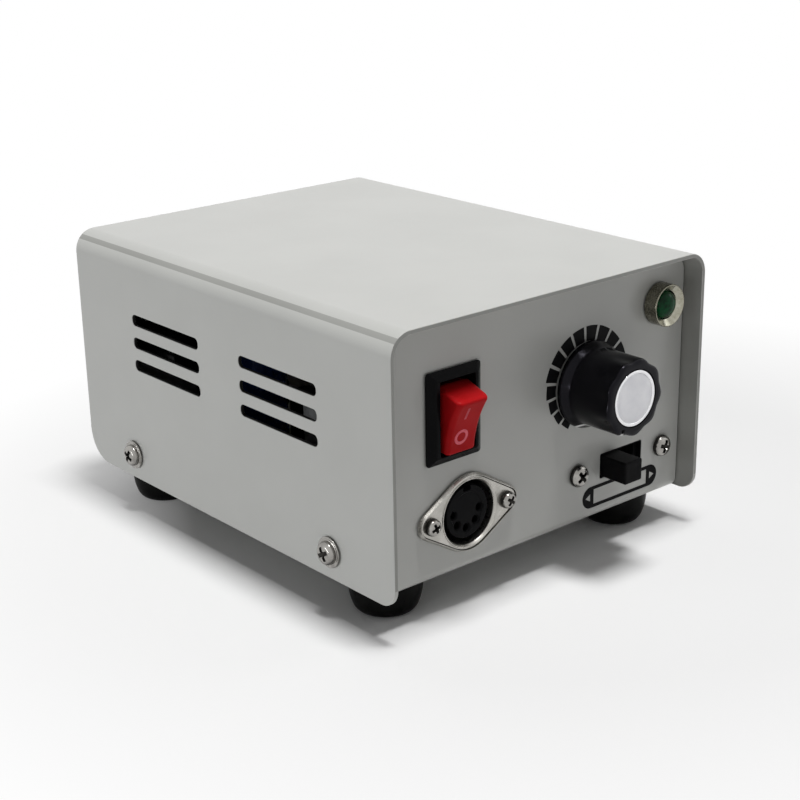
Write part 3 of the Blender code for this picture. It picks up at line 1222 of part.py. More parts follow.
def make_board(inside):
    """Circuit board on four supports."""
    rings = [rounded_ring(BOARD_WIDTH, BOARD_LENGTH, BOARD_CORNER, BOARD_LEVEL),
             rounded_ring(BOARD_WIDTH, BOARD_LENGTH, BOARD_CORNER, BOARD_LEVEL + BOARD_SHEET)]
    board = seat(piece("circuit_board", "board_green", rings), inside, BOARD_X, BOARD_Y)
    holes = []
    for x, y in support_places():
        radius = SUPPORT_PIN_RADIUS + FIT_GAP
        holes.append([circle_at(x - BOARD_X, y - BOARD_Y, radius, BOARD_LEVEL - OVERRUN),
                      circle_at(x - BOARD_X, y - BOARD_Y, radius, BOARD_TOP + OVERRUN)])
    combine(board, helper("board_holes", holes), "DIFFERENCE")

    names = ("left_front", "left_rear", "right_front", "right_rear")
    for name, (x, y) in zip(names, support_places()):
        rings = [
            circle(SUPPORT_PIN_RADIUS, -CHASSIS_SHEET, SMALL_SIDES),
            circle(SUPPORT_PIN_RADIUS, FIT_GAP, SMALL_SIDES),
            circle(SUPPORT_RADIUS, FIT_GAP, SMALL_SIDES),
            circle(SUPPORT_RADIUS, FIT_GAP + SUPPORT_HEIGHT, SMALL_SIDES),
            circle(SUPPORT_PIN_RADIUS, FIT_GAP + SUPPORT_HEIGHT, SMALL_SIDES),
            circle(SUPPORT_PIN_RADIUS, BOARD_TOP + SUPPORT_PIN_TIP, SMALL_SIDES),
        ]
        seat(piece(f"board_support_{name}", "nylon", rings), inside, x, y)


def make_board_parts(inside):
    """Capacitor, heat sink, power transistor and rectifier."""
    crown = BOARD_TOP + CAPACITOR_LENGTH
    groove = BOARD_TOP + CAPACITOR_GROOVE_HEIGHT
    rings = [
        circle(CAPACITOR_RADIUS, BOARD_TOP),
        circle(CAPACITOR_RADIUS, groove - CAPACITOR_GROOVE),
        circle(CAPACITOR_RADIUS - CAPACITOR_GROOVE, groove),
        circle(CAPACITOR_RADIUS, groove + CAPACITOR_GROOVE),
        circle(CAPACITOR_RADIUS, crown - CAPACITOR_EDGE_ROUND),
        circle(CAPACITOR_RADIUS - CAPACITOR_EDGE_ROUND, crown),
    ]
    seat(piece("main_capacitor", "sleeve_blue", rings), inside, CAPACITOR_X, CAPACITOR_Y)

    half = SINK_WIDTH / 2
    pitch = (SINK_WIDTH - SINK_FIN_SHEET) / (SINK_FINS - 1)
    outline = [(-half, -SINK_PLATE), (half, -SINK_PLATE)]
    for fin in reversed(range(SINK_FINS)):
        right = fin * pitch + SINK_FIN_SHEET - half
        left = fin * pitch - half
        base_right = [(right, 0)] if fin < SINK_FINS - 1 else []
        base_left = [(left, 0)] if fin > 0 else []
        outline += base_right + [(right, SINK_FIN_DEPTH), (left, SINK_FIN_DEPTH)] + base_left
    rings = [[(x, y, level) for x, y in outline] for level in (BOARD_TOP, BOARD_TOP + SINK_HEIGHT)]
    seat(piece("heat_sink", "aluminium", rings), inside, SINK_X, SINK_Y)

    lead_low = BOARD_TOP
    body_low = lead_low + TRANSISTOR_LEAD_LENGTH
    body_top = body_low + TRANSISTOR_BODY_HEIGHT
    tab_top = body_top + TRANSISTOR_TAB_HEIGHT
    tab_offset = (TRANSISTOR_THICKNESS - TRANSISTOR_TAB_SHEET) / 2 - TRANSISTOR_TAB_SETBACK
    tab = (TRANSISTOR_WIDTH - 2 * TRANSISTOR_TAB_SETBACK, TRANSISTOR_TAB_SHEET)
    rings = [
        rounded_ring(TRANSISTOR_WIDTH, TRANSISTOR_THICKNESS, TRANSISTOR_CORNER, body_low),
        rounded_ring(TRANSISTOR_WIDTH, TRANSISTOR_THICKNESS, TRANSISTOR_CORNER, body_top),
        rounded_ring(*tab, TRANSISTOR_CORNER, body_top, 0, tab_offset),
        rounded_ring(*tab, TRANSISTOR_CORNER, tab_top, 0, tab_offset),
    ]
    transistor = piece("power_transistor", "black_plastic", rings)
    seat(transistor, inside, SINK_X, SINK_Y - SINK_PLATE - FIT_GAP - TRANSISTOR_THICKNESS / 2)
    leads = []
    for lead in (-1, 0, 1):
        x = lead * TRANSISTOR_LEAD_PITCH
        leads.append([square_ring(TRANSISTOR_LEAD, TRANSISTOR_LEAD, lead_low, x),
                      square_ring(TRANSISTOR_LEAD, TRANSISTOR_LEAD, (body_low + body_top) / 2, x)])
    combine(transistor, helper("transistor_leads", leads), "UNION")

    rings = [rounded_ring(RECTIFIER_WIDTH, RECTIFIER_LENGTH, RECTIFIER_CORNER, level)
             for level in (BOARD_TOP, BOARD_TOP + RECTIFIER_HEIGHT)]
    seat(piece("bridge_rectifier", "black_plastic", rings), inside, RECTIFIER_X, RECTIFIER_Y)


def build():
    """Make every piece in the frame of its side."""
    clear_scene()
    front = new_frame("front_panel_frame", (0, -PANEL_FACE, BASE_LEVEL), (90, 0, 0))
    rear = new_frame("rear_panel_frame", (0, PANEL_FACE, BASE_LEVEL), (90, 0, 180))
    left = new_frame("left_wall_frame", (-COVER_WIDTH / 2, 0, BASE_LEVEL), (90, 0, -90))
    right = new_frame("right_wall_frame", (COVER_WIDTH / 2, 0, BASE_LEVEL), (90, 0, 90))
    under = new_frame("underside_frame", (0, 0, FOOT_WELL_DEPTH), (180, 0, 0))
    inside = new_frame("floor_frame", (0, 0, FLOOR_LEVEL), (0, 0, 0))
    make_cover()
    make_chassis()
    make_cover_screws((("left", left, -1), ("right", right, 1)))
    make_feet(under)
    make_power_switch(front)
    make_socket(front)
    make_lamp(front)
    make_speed_control(front)
    make_direction_switch(front)
    make_fuse_holder(rear)
    make_grommet(rear)
    make_pedal_jack(rear)
    make_transformer(inside)
    make_board(inside)
    make_board_parts(inside)
    bpy.context.view_layer.update()


build()
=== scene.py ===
import math

import bmesh
import bpy
from mathutils import Euler, Matrix, Vector


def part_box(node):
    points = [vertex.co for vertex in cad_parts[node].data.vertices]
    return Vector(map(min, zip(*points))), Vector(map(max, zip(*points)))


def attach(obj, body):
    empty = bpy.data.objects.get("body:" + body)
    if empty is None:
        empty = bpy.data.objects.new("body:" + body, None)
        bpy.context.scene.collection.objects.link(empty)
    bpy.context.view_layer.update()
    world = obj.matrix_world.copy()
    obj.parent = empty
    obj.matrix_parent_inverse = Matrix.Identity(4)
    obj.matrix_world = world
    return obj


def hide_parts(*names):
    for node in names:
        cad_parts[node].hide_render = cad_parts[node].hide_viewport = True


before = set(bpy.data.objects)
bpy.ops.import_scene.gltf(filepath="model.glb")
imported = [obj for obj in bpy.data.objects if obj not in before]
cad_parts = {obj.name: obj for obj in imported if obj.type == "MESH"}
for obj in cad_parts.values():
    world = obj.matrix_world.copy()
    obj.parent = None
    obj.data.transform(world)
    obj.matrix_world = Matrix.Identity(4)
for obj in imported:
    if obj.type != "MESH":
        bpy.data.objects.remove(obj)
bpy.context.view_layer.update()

MM = 0.001

# Shapes are in millimetres, with heights over the lower edge of the box
COVER_LOW, COVER_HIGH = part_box("cover")
BASE = COVER_LOW.z
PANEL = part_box("chassis")[0].y


def side_frame(x, y, z, turn=(0, 0, 0)):
    """Place and directions of one side of the box."""
    turned = Euler([math.radians(angle) for angle in turn]).to_matrix().to_4x4()
    return Matrix.Translation((x, y, z)) @ turned


BOX = side_frame(0, 0, BASE)
FRONT = side_frame(0, PANEL, BASE, (90, 0, 0))
REAR = side_frame(0, -PANEL, BASE, (90, 0, 180))
LEFT = side_frame(COVER_LOW.x, 0, BASE, (90, 0, -90))
RIGHT = side_frame(COVER_HIGH.x, 0, BASE, (90, 0, 90))


def centre(name):
    """Middle of a CAD node in X, Y and Z, in metres."""
    return [(low + high) / 2 for low, high in zip(*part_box(name))]


def middle(name):
    """X and height of a CAD node's middle, in millimetres over the lower edge of the box."""
    x, y, z = centre(name)
    return x / MM, (z - BASE) / MM


HALF_WIDTH = COVER_HIGH.x / MM
HALF_LENGTH = COVER_HIGH.y / MM
HEIGHT = (COVER_HIGH.z - COVER_LOW.z) / MM
PANEL_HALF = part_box("chassis")[1].x / MM
FACE = abs(PANEL) / MM
COVER_SHEET, COVER_BEND = 1.0, 5.3
CHASSIS_SHEET, CHASSIS_BEND = 1.2, 2.2
VENT_LENGTH, VENT_WIDTH, VENT_PITCH = 28.5, 2.8, 5.8
VENT_Y, VENT_HEIGHT = 22.35, 37.0
PAST = 3  # how far cutters and raw sheets reach past what they shape
PRINT_DEPTH = 0.03

SIDE_SCREWS = [centre(f"cover_screw_left_{end}")[1] / MM for end in ("front", "rear")]
SIDE_SCREW_HEIGHT = middle("cover_screw_left_front")[1]
ROCKER_AT = middle("rocker_housing")
SOCKET_AT = middle("socket_flange")
FLANGE_SCREW = 11.15  # from the middle of the socket
LAMP_AT = middle("lamp_bezel")
KNOB_AT = middle("knob_cap")
SLIDE_AT = middle("slide_frame")
SLIDE_SCREW = 14.45  # from the middle of the slide switch
SLOT_AT = SLIDE_AT[0] + 0.6, SLIDE_AT[1]
STRIP_AT = 26.8, 5.6
SLIDER_AT = middle("direction_slider")
FUSE_AT = middle("fuse_cap")
JACK_AT = middle("pedal_jack_nut")
GROMMET_AT = middle("mains_grommet")


# Outlines and solids

def full_turn(sides):
    return [math.tau * side / sides for side in range(sides)]


def circle(radius, level, x=0, y=0, sides=64):
    return [(x + radius * math.cos(turn), y + radius * math.sin(turn), level) for turn in full_turn(sides)]


def rounded(width, height, corner, level, x=0, y=0, steps=6):
    """Rectangle with round corners."""
    points = []
    for quarter, (sign_x, sign_y) in enumerate(((1, 1), (-1, 1), (-1, -1), (1, -1))):
        for step in range(steps + 1):
            turn = (quarter + step / steps) * math.pi / 2
            points.append((x + sign_x * (width / 2 - corner) + corner * math.cos(turn),
                           y + sign_y * (height / 2 - corner) + corner * math.sin(turn), level))
    return points


def lozenge(inset, level, sides=128):
    """Outline of the socket flange: two ears and a round middle."""
    body, ear = 9.4, 3.65
    lean = (body - ear) / FLANGE_SCREW
    points = []
    for turn in full_turn(sides):
        along = math.cos(turn)
        radius, shift = (ear, math.copysign(FLANGE_SCREW, along)) if abs(along) > lean else (body, 0)
        points.append((shift + (radius - inset) * along, (radius - inset) * math.sin(turn), level))
    return points


def lobe_reach(radius, depth, turn, lobes, phase=0.0):
    """Distance from the axis to the skin of a lobed grip."""
    return radius - depth * (1 - math.cos(lobes * (turn - phase))) / 2


def lobed(radius, level, depth, lobes=10, steps=16, phase=0.0):
    """Ring of rounded lobes parted by flutes."""
    points = []
    for turn in full_turn(lobes * steps):
        reach = lobe_reach(radius, depth, turn, lobes, phase)
        points.append((reach * math.cos(turn), reach * math.sin(turn), level))
    return points


def arc(x, y, radius, start, end, steps=12):
    """Points on an arc between two quarter turns."""
    turns = [(start + (end - start) * step / steps) * math.pi / 2 for step in range(steps + 1)]
    return [(x + radius * math.cos(turn), y + radius * math.sin(turn)) for turn in turns]


def thread(crest, root, start, stop, pitch):
    """Profile of a thread as radius and level."""
    points = []
    level = start
    while level < stop:
        points += [(crest, level), (root, level + pitch / 2)]
        level += pitch
    return points


def fillet(points, steps=4):
    """Round the corners of an outline; a third value tells how far a rounding reaches."""
    run = []
    for place, point in enumerate(points):
        here = Vector(point[:2])
        if len(point) == 2:
            run.append(tuple(here))
            continue
        start, end = [here + (Vector(points[near % len(points)][:2]) - here).normalized() * point[2]
                      for near in (place - 1, place + 1)]
        for step in range(steps + 1):
            share = step / steps
            run.append(tuple(start * (1 - share) ** 2 + here * 2 * share * (1 - share) + end * share ** 2))
    return run


def flat(ring):
    """Outline of a ring, without its level."""
    return [point[:2] for point in ring]


def along_x(outline, low, high):
    return [[(w, u, v) for u, v in outline] for w in (low, high)]


def along_y(outline, low, high):
    return [[(u, w, v) for u, v in outline] for w in (low, high)]


def through_panel(ring, sign):
    """Cutter through the front or the rear panel for a ring in X and height."""
    return along_y(flat(ring), *sorted((sign * (FACE - 4), sign * (FACE + 4))))


def loft(mesh, rings, wrap=False):
    """Skin over rings, closed at both ends or run round from the last ring to the first."""
    rows = [[mesh.verts.new([value * MM for value in point]) for point in ring] for ring in rings]
    pairs = list(zip(rows, rows[1:]))
    if wrap:
        pairs.append((rows[-1], rows[0]))
    else:
        mesh.faces.new(rows[0][::-1])
        mesh.faces.new(rows[-1])
    for low, high in pairs:
        for here in range(len(low)):
            after = (here + 1) % len(low)
            mesh.faces.new((low[here], low[after], high[after], high[here]))


def place_new(name, data):
    thing = bpy.data.objects.new(name, data)
    bpy.context.scene.collection.objects.link(thing)
    return thing


def solid(name, lofts, wrap=False):
    mesh = bmesh.new()
    for rings in lofts:
        loft(mesh, rings, wrap)
    bmesh.ops.recalc_face_normals(mesh, faces=mesh.faces)
    data = bpy.data.meshes.new(name)
    mesh.to_mesh(data)
    mesh.free()
    return place_new(name, data)


def spun(name, profile, sides, wrap=False):
    """Solid turned about local Z from a profile of radius and level."""
    return solid(name, [[circle(radius, level, sides=sides) for radius, level in profile]], wrap)


def settle(thing):
    """Turn a thing and its modifiers into a plain mesh."""
    bpy.context.view_layer.update()
    depsgraph = bpy.context.evaluated_depsgraph_get()
    mesh = bpy.data.meshes.new_from_object(thing.evaluated_get(depsgraph))
    mesh.name = thing.name
    thing.modifiers.clear()
    if thing.type == "MESH":
        thing.data = mesh
        return thing
    plain = place_new(thing.name, mesh)
    bpy.data.objects.remove(thing)
    plain.name = mesh.name
    return plain


def carve(thing, lofts, operation="DIFFERENCE"):
    """Cut solids out of a thing, join them to it or keep what they share."""
    tool = solid("tool", lofts)
    modifier = thing.modifiers.new("carve", "BOOLEAN")
    modifier.object, modifier.operation, modifier.solver = tool, operation, "EXACT"
    settle(thing)
    bpy.data.objects.remove(tool)


def smooth(thing, edge=0.0, angle=32, segments=2):
    """Round the hard edges and shade the rest smoothly."""
    if edge:
        modifier = thing.modifiers.new("edges", "BEVEL")
        modifier.width, modifier.segments = edge * MM, segments
        modifier.limit_method, modifier.angle_limit = "ANGLE", math.radians(angle)
        settle(thing)
    thing.data.shade_smooth()
    thing.data.set_sharp_from_angle(angle=math.radians(angle + 8))
    modifier = thing.modifiers.new("normals", "WEIGHTED_NORMAL")
    modifier.keep_sharp = True
    return thing


def fit(thing, material, at, x=0, y=0, z=0, body="root", slot=None, nodes=(), spin=0):
    """Put a piece in its place on a side, on its body, in the place of its CAD nodes."""
    if not thing.data.materials:
        thing.data.materials.append(material)
    shift = Matrix.Translation((x * MM, y * MM, z * MM))
    thing.matrix_world = at @ shift @ Matrix.Rotation(spin, 4, "Z")
    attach(thing, body)
    if nodes:
        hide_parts(*nodes)


def twin(thing, name):
    """Piece of that name with the mesh of another, which may be the piece itself."""
    if thing.name == name:
        return thing
    other = place_new(name, thing.data)
    other.modifiers.new("normals", "WEIGHTED_NORMAL").keep_sharp = True
    return other


def printed(name, outlines):
    """Thin print from closed outlines; one outline inside another leaves a hole."""
    curve = bpy.data.curves.new(name, "CURVE")
    curve.dimensions, curve.fill_mode, curve.extrude = "2D", "BOTH", PRINT_DEPTH * MM
    for outline in outlines:
        spline = curve.splines.new("POLY")
        spline.points.add(len(outline) - 1)
        for point, (x, y) in zip(spline.points, outline):
            point.co = (x * MM, y * MM, 0, 1)
        spline.use_cyclic_u = True
    return settle(place_new(name, curve))


# Materials

def node(tree, kind, settings=(), **inputs):
    """New node; an input is a value or another node's output."""
    made = tree.nodes.new(kind)
    for key, value in dict(settings).items():
        setattr(made, key, value)
    for key, value in inputs.items():
        socket = made.inputs[key.replace("_", " ")]
        if isinstance(value, bpy.types.NodeSocket):
            tree.links.new(value, socket)
        else:
            socket.default_value = value
    return made


def spans(tree, value, low, high, start=0.35, end=0.65):
    """A value between start and end of a pattern, spread from low to high."""
    ranged = tree.nodes.new("ShaderNodeMapRange")
    tree.links.new(value, ranged.inputs["Value"])
    for key, number in (("From Min", start), ("From Max", end), ("To Min", low), ("To Max", high)):
        ranged.inputs[key].default_value = number
    return ranged.outputs["Result"]


def blended(tree, share, first, second):
    """Colour that runs from the first to the second with a share."""
    mixed = tree.nodes.new("ShaderNodeMix")
    mixed.data_type = "RGBA"
    tree.links.new(share, mixed.inputs[0])
    for key, colour in ((6, first), (7, second)):
        if isinstance(colour, bpy.types.NodeSocket):
            tree.links.new(colour, mixed.inputs[key])
        else:
            mixed.inputs[key].default_value = (*colour, 1)
    return mixed.outputs[2]


def summed(tree, first, second, clamp=False):
    total = tree.nodes.new("ShaderNodeMath")
    total.operation, total.use_clamp = "ADD", clamp
    tree.links.new(first, total.inputs[0])
    tree.links.new(second, total.inputs[1])
    return total.outputs[0]


def finish(name, colour, second, roughness, metallic=0.0, patch=15.0, grain=0.5, spread=0.04,
           relief=0.01, turned=0.0, drawn=None, extra=None):
    """Principled surface whose colour drifts over patches.

    Gloss and relief follow a fine grain. Patch, grain, relief and the pitch of turned lines are in
    millimetres; drawn stretches the pattern along an axis.
    """
    material = bpy.data.materials.new(name)
    material.use_nodes = True
    tree = material.node_tree
    shader = tree.nodes["Principled BSDF"]
    shader.inputs["Metallic"].default_value = metallic
    for key, value in (extra or {}).items():
        shader.inputs[key].default_value = value
    place = node(tree, "ShaderNodeTexCoord").outputs["Object"]
    if drawn:
        place = node(tree, "ShaderNodeMapping", Vector=place, Scale=drawn).outputs["Vector"]
    broad, fine = [
        node(tree, "ShaderNodeTexNoise", Vector=place, Scale=1 / (size * MM), Detail=detail).outputs["Fac"]
        for size, detail in ((patch, 3.0), (grain, 2.0))]
    tree.links.new(blended(tree, spans(tree, broad, 0, 1), colour, second), shader.inputs["Base Color"])
    gloss = summed(tree, spans(tree, fine, roughness - spread, roughness + spread),
                   spans(tree, broad, -spread / 2, spread / 2))
    tree.links.new(gloss, shader.inputs["Roughness"])
    height = fine
    if turned:
        rings = node(tree, "ShaderNodeTexWave", {"wave_type": "RINGS", "rings_direction": "Z"},
                     Vector=place, Scale=1 / (turned * MM) / 3, Distortion=0.4, Detail=2.0,
                     Detail_Scale=2.0)
        height = summed(tree, fine, rings.outputs["Fac"])
        tangent = node(tree, "ShaderNodeTangent", {"direction_type": "RADIAL", "axis": "Z"})
        tree.links.new(tangent.outputs[0], shader.inputs["Tangent"])
    bump = node(tree, "ShaderNodeBump", Height=height, Strength=1.0, Distance=relief * MM)
    tree.links.new(bump.outputs["Normal"], shader.inputs["Normal"])
    return material


def graph(material):
    """Node tree, shader and object coordinates of a finish."""
    tree = material.node_tree
    place = next(item for item in tree.nodes if item.type == "TEX_COORD").outputs["Object"]
    return tree, tree.nodes["Principled BSDF"], place


def banded(material, axis, pitch, colour, low=0.42, high=0.58, relief=0.03):
    """Lines of a second colour across a material, one every pitch along an axis."""
    tree, shader, place = graph(material)
    wave = node(tree, "ShaderNodeTexWave", {"wave_type": "BANDS", "bands_direction": axis},
                Vector=place, Scale=math.tau / (20 * pitch * MM), Distortion=0.15, Detail=1.0)
    share = spans(tree, wave.outputs["Fac"], 0, 1, low, high)
    below = shader.inputs["Base Color"].links[0].from_socket
    tree.links.new(blended(tree, share, colour, below), shader.inputs["Base Color"])
    bump = node(tree, "ShaderNodeBump", Height=share, Strength=1.0, Distance=relief * MM,
                Normal=shader.inputs["Normal"].links[0].from_socket)
    tree.links.new(bump.outputs["Normal"], shader.inputs["Normal"])
    return material


DULL = {"Specular IOR Level": 0.04}
SOFT = {"Specular IOR Level": 0.2}
ENAMEL = finish("grey_enamel", (0.585, 0.588, 0.562), (0.565, 0.568, 0.543), 0.32, patch=22, grain=0.4,
                spread=0.02, relief=0.002, extra={"Specular IOR Level": 0.45})
# Darker copy of the enamel: painted shade on the inner faces of the cover
SHADED_INNER_ENAMEL = finish("inner_enamel_painted_shade", (0.385, 0.386, 0.366), (0.355, 0.356, 0.336), 0.42, patch=22,
                      grain=0.4, spread=0.03, relief=0.002, extra={"Specular IOR Level": 0.3})
# Near-black: painted shade on the walls of the vent slots
SLOT_WALL_SHADE = finish("slot_wall_painted_shade", (0.020, 0.020, 0.019), (0.035, 0.035, 0.033), 0.5, patch=3, grain=0.4,
                   spread=0.05, relief=0.002, extra=SOFT)
NICKEL = finish("bright_nickel", (0.48, 0.465, 0.435), (0.40, 0.39, 0.36), 0.30, 1.0, patch=2.5, grain=0.3,
                spread=0.04, relief=0.0006)
LAMP_METAL = finish("lamp_metal", (0.240, 0.230, 0.185), (0.170, 0.163, 0.125), 0.26, 1.0, patch=1.5,
                    grain=0.3, spread=0.05, relief=0.002)
REFLECTOR = finish("lamp_reflector", (0.38, 0.37, 0.31), (0.29, 0.28, 0.22), 0.22, 1.0, patch=1.2,
                   grain=0.3, spread=0.05, relief=0.002)
TURNED_NICKEL = finish("turned_nickel", (0.36, 0.35, 0.33), (0.26, 0.25, 0.235), 0.18, 1.0, patch=1.8,
                       grain=0.25, spread=0.05, relief=0.004, turned=0.35, extra={"Anisotropic": 0.4})
# Dark metal: painted shade in the screws' cross recesses, on the sides of their heads and in the flange's
# groove
RECESS_SHADE = finish("recess_painted_shade", (0.050, 0.048, 0.044), (0.030, 0.029, 0.027), 0.35, 1.0, patch=0.8,
                grain=0.25, spread=0.05, relief=0.004)
SPUN_CAP = finish("spun_cap", (0.77, 0.77, 0.79), (0.70, 0.70, 0.73), 0.42, 0.55, patch=4, grain=0.2,
                  spread=0.05, relief=0.004, turned=0.22, extra={"Anisotropic": 0.5})
CAP_RIM = finish("cap_rim", (0.90, 0.90, 0.91), (0.84, 0.84, 0.86), 0.20, 0.8, patch=3, grain=0.3,
                 spread=0.05, relief=0.002, turned=0.2, extra={"Anisotropic": 0.3})
BLACK = finish("black_plastic", (0.0040, 0.0040, 0.0045), (0.0060, 0.0060, 0.0065), 0.24, patch=5,
               grain=0.35, spread=0.05, relief=0.005, extra=DULL)
SATIN_BLACK = finish("satin_black_plastic", (0.0045, 0.0045, 0.0050), (0.0070, 0.0070, 0.0075), 0.38,
                     patch=5, grain=0.22, spread=0.06, relief=0.010, extra=DULL)
KNOB_BLACK = finish("knob_black", (0.0016, 0.0016, 0.0020), (0.0024, 0.0024, 0.0030), 0.20, patch=6,
                    grain=0.5, spread=0.04, relief=0.002,
                    extra={"Specular IOR Level": 0.14, "Specular Tint": (0.86, 0.84, 1.0, 1.0)})
RED = finish("red_plastic", (0.52, 0.009, 0.012), (0.46, 0.007, 0.009), 0.34, patch=4, grain=0.4,
             spread=0.05, relief=0.004,
             extra={"Subsurface Weight": 0.12, "Subsurface Scale": 0.002, "Specular IOR Level": 0.05})
RUBBER = finish("black_rubber", (0.0040, 0.0040, 0.0040), (0.0075, 0.0075, 0.0070), 0.36, patch=4,
                grain=0.25, spread=0.08, relief=0.012, extra=DULL)
BRASS = finish("brass", (0.74, 0.55, 0.24), (0.62, 0.43, 0.17), 0.26, 1.0, patch=1.6, grain=0.3,
               spread=0.07, relief=0.004)
ZINC = finish("zinc_steel", (0.62, 0.62, 0.60), (0.52, 0.53, 0.54), 0.34, 1.0, patch=3, grain=0.6,
              spread=0.09, relief=0.005)
GREEN = finish("green_lens", (0.001, 0.030, 0.009), (0.003, 0.085, 0.026), 0.10, patch=1.4, grain=0.8,
               spread=0.03, relief=0.01, extra={"Specular IOR Level": 0.10})
INK = finish("black_print", (0.0050, 0.0050, 0.0055), (0.0080, 0.0080, 0.0085), 0.46, patch=2, grain=0.18,
             spread=0.08, relief=0.003, extra=DULL)
WHITE_INK = finish("white_print", (0.78, 0.78, 0.77), (0.68, 0.68, 0.67), 0.48, patch=1.2, grain=0.18,
                   spread=0.06, relief=0.003)
PINK_INK = finish("pale_print", (0.92, 0.17, 0.22), (0.80, 0.12, 0.17), 0.42, patch=0.9, grain=0.15,
                  spread=0.06, relief=0.003, extra=SOFT)
FAINT_INK = finish("faint_print", (0.66, 0.10, 0.13), (0.52, 0.06, 0.08), 0.42, patch=0.9, grain=0.15,
                   spread=0.06, relief=0.003, extra=SOFT)
GLASS = finish("fuse_glass", (0.80, 0.86, 0.85), (0.74, 0.80, 0.79), 0.06, patch=3, grain=0.8, spread=0.02,
               relief=0.002, extra={"Transmission Weight": 0.75, "IOR": 1.48})
NYLON = finish("nylon", (0.72, 0.70, 0.63), (0.64, 0.62, 0.55), 0.45, patch=2, grain=0.4, spread=0.06,
               relief=0.008)
LAMINATION = banded(finish("laminations", (0.115, 0.115, 0.120), (0.060, 0.058, 0.056), 0.45, 0.8, patch=3,
                           grain=0.4, spread=0.10, relief=0.01), "Y", 0.5, (0.030, 0.028, 0.027))
COIL = banded(finish("winding_tape", (0.72, 0.46, 0.06), (0.60, 0.36, 0.04), 0.36, patch=5, grain=0.5,
                     spread=0.06, relief=0.01), "Z", 5.5, (0.46, 0.27, 0.03), 0.02, 0.10, 0.08)
SLEEVE = finish("capacitor_sleeve", (0.020, 0.055, 0.24), (0.014, 0.040, 0.18), 0.24, patch=5, grain=0.6,
                spread=0.05, relief=0.006)
SINK = banded(finish("heat_sink_metal", (0.34, 0.345, 0.35), (0.28, 0.285, 0.29), 0.40, 1.0, patch=2.5,
                     grain=0.3, spread=0.08, relief=0.006, drawn=(1, 1, 0.05)), "X", 0.45,
              (0.26, 0.265, 0.27), 0.2, 0.5, 0.01)


def board_finish():
    """Green solder mask with darker copper tracks and bright pads."""
    material = finish("circuit_board", (0.012, 0.115, 0.045), (0.016, 0.14, 0.055), 0.30, patch=6,
                      grain=0.5, spread=0.05, relief=0.006)
    tree, shader, place = graph(material)
    bricks = node(tree, "ShaderNodeTexBrick", {"offset": 0.37, "squash": 0.62, "squash_frequency": 3},
                  Vector=place, Scale=1 / (5.2 * MM), Mortar_Size=0.075, Mortar_Smooth=0.2, Brick_Width=1.3,
                  Row_Height=0.62)
    dots = node(tree, "ShaderNodeTexVoronoi", Vector=place, Scale=1 / (3.4 * MM), Randomness=0.75)
    below = shader.inputs["Base Color"].links[0].from_socket
    tracks = blended(tree, bricks.outputs["Fac"], below, (0.030, 0.24, 0.095))
    share = spans(tree, dots.outputs["Distance"], 1, 0, 0.13, 0.16)
    pads = blended(tree, share, tracks, (0.55, 0.55, 0.53))
    tree.links.new(pads, shader.inputs["Base Color"])
    return material


BOARD = board_finish()

# Cover and chassis

def bent(half, rise, radius, sheet, steps=12):
    """Outline of a sheet bent to a U whose base lies along zero."""
    def run(inset):
        points = [(inset - half, rise)]
        for sign, start in ((-1, 2), (1, 3)):
            for step in range(steps + 1):
                turn = (start + step / steps) * math.pi / 2
                points.append((sign * (half - radius) + (radius - inset) * math.cos(turn),
                               radius + (radius - inset) * math.sin(turn)))
        return points + [(half - inset, rise)]
    return run(0) + run(sheet)[::-1]


def make_cover():
    """Painted sheet over top and sides, with vent slots and softly broken edges."""
    section = [(u, HEIGHT - v) for u, v in bent(HALF_WIDTH, HEIGHT + PAST, COVER_BEND, COVER_SHEET)]
    cover = solid("cover_sheet", [along_y(section, -HALF_LENGTH - PAST, HALF_LENGTH + PAST)])
    front, rear = 4.5, 8.0  # radii of the lower corners
    outline = [(-HALF_LENGTH, HEIGHT + PAST), (HALF_LENGTH, HEIGHT + PAST)]
    outline += arc(HALF_LENGTH - rear, rear, rear, 4, 3) + arc(front - HALF_LENGTH, front, front, 3, 2)
    wide = -HALF_WIDTH - PAST, HALF_WIDTH + PAST
    carve(cover, [along_x(outline, *wide)], "INTERSECT")
    holes = [rounded(VENT_LENGTH, VENT_WIDTH, 1.2, 0, y, VENT_HEIGHT + row)
             for y in (-VENT_Y, VENT_Y) for row in (-VENT_PITCH, 0, VENT_PITCH)]
    holes += [circle(1.8, 0, y, SIDE_SCREW_HEIGHT, 32) for y in SIDE_SCREWS]
    carve(cover, [along_x(flat(ring), *wide) for ring in holes])
    smooth(cover, 0.22, segments=3)
    for material in (ENAMEL, SLOT_WALL_SHADE, SHADED_INNER_ENAMEL):
        cover.data.materials.append(material)
    skin = COVER_SHEET - 0.02
    # Painted shade: inner faces of the sheet take the darker enamel copy, and the walls of the vent slots a
    # near-black one
    for face in cover.data.polygons:
        x, y, z = (abs(value) / MM for value in face.center)
        if x < HALF_WIDTH - skin and z < HEIGHT - skin:
            face.material_index = 2
        elif (abs(z - VENT_HEIGHT) < 7.5 and abs(y - VENT_Y) < 14.3 and abs(face.normal.x) < 0.5
              and HALF_WIDTH - skin < x < HALF_WIDTH - 0.18):
            face.material_index = 1
    fit(cover, ENAMEL, BOX, slot="enamel", nodes=["cover"])


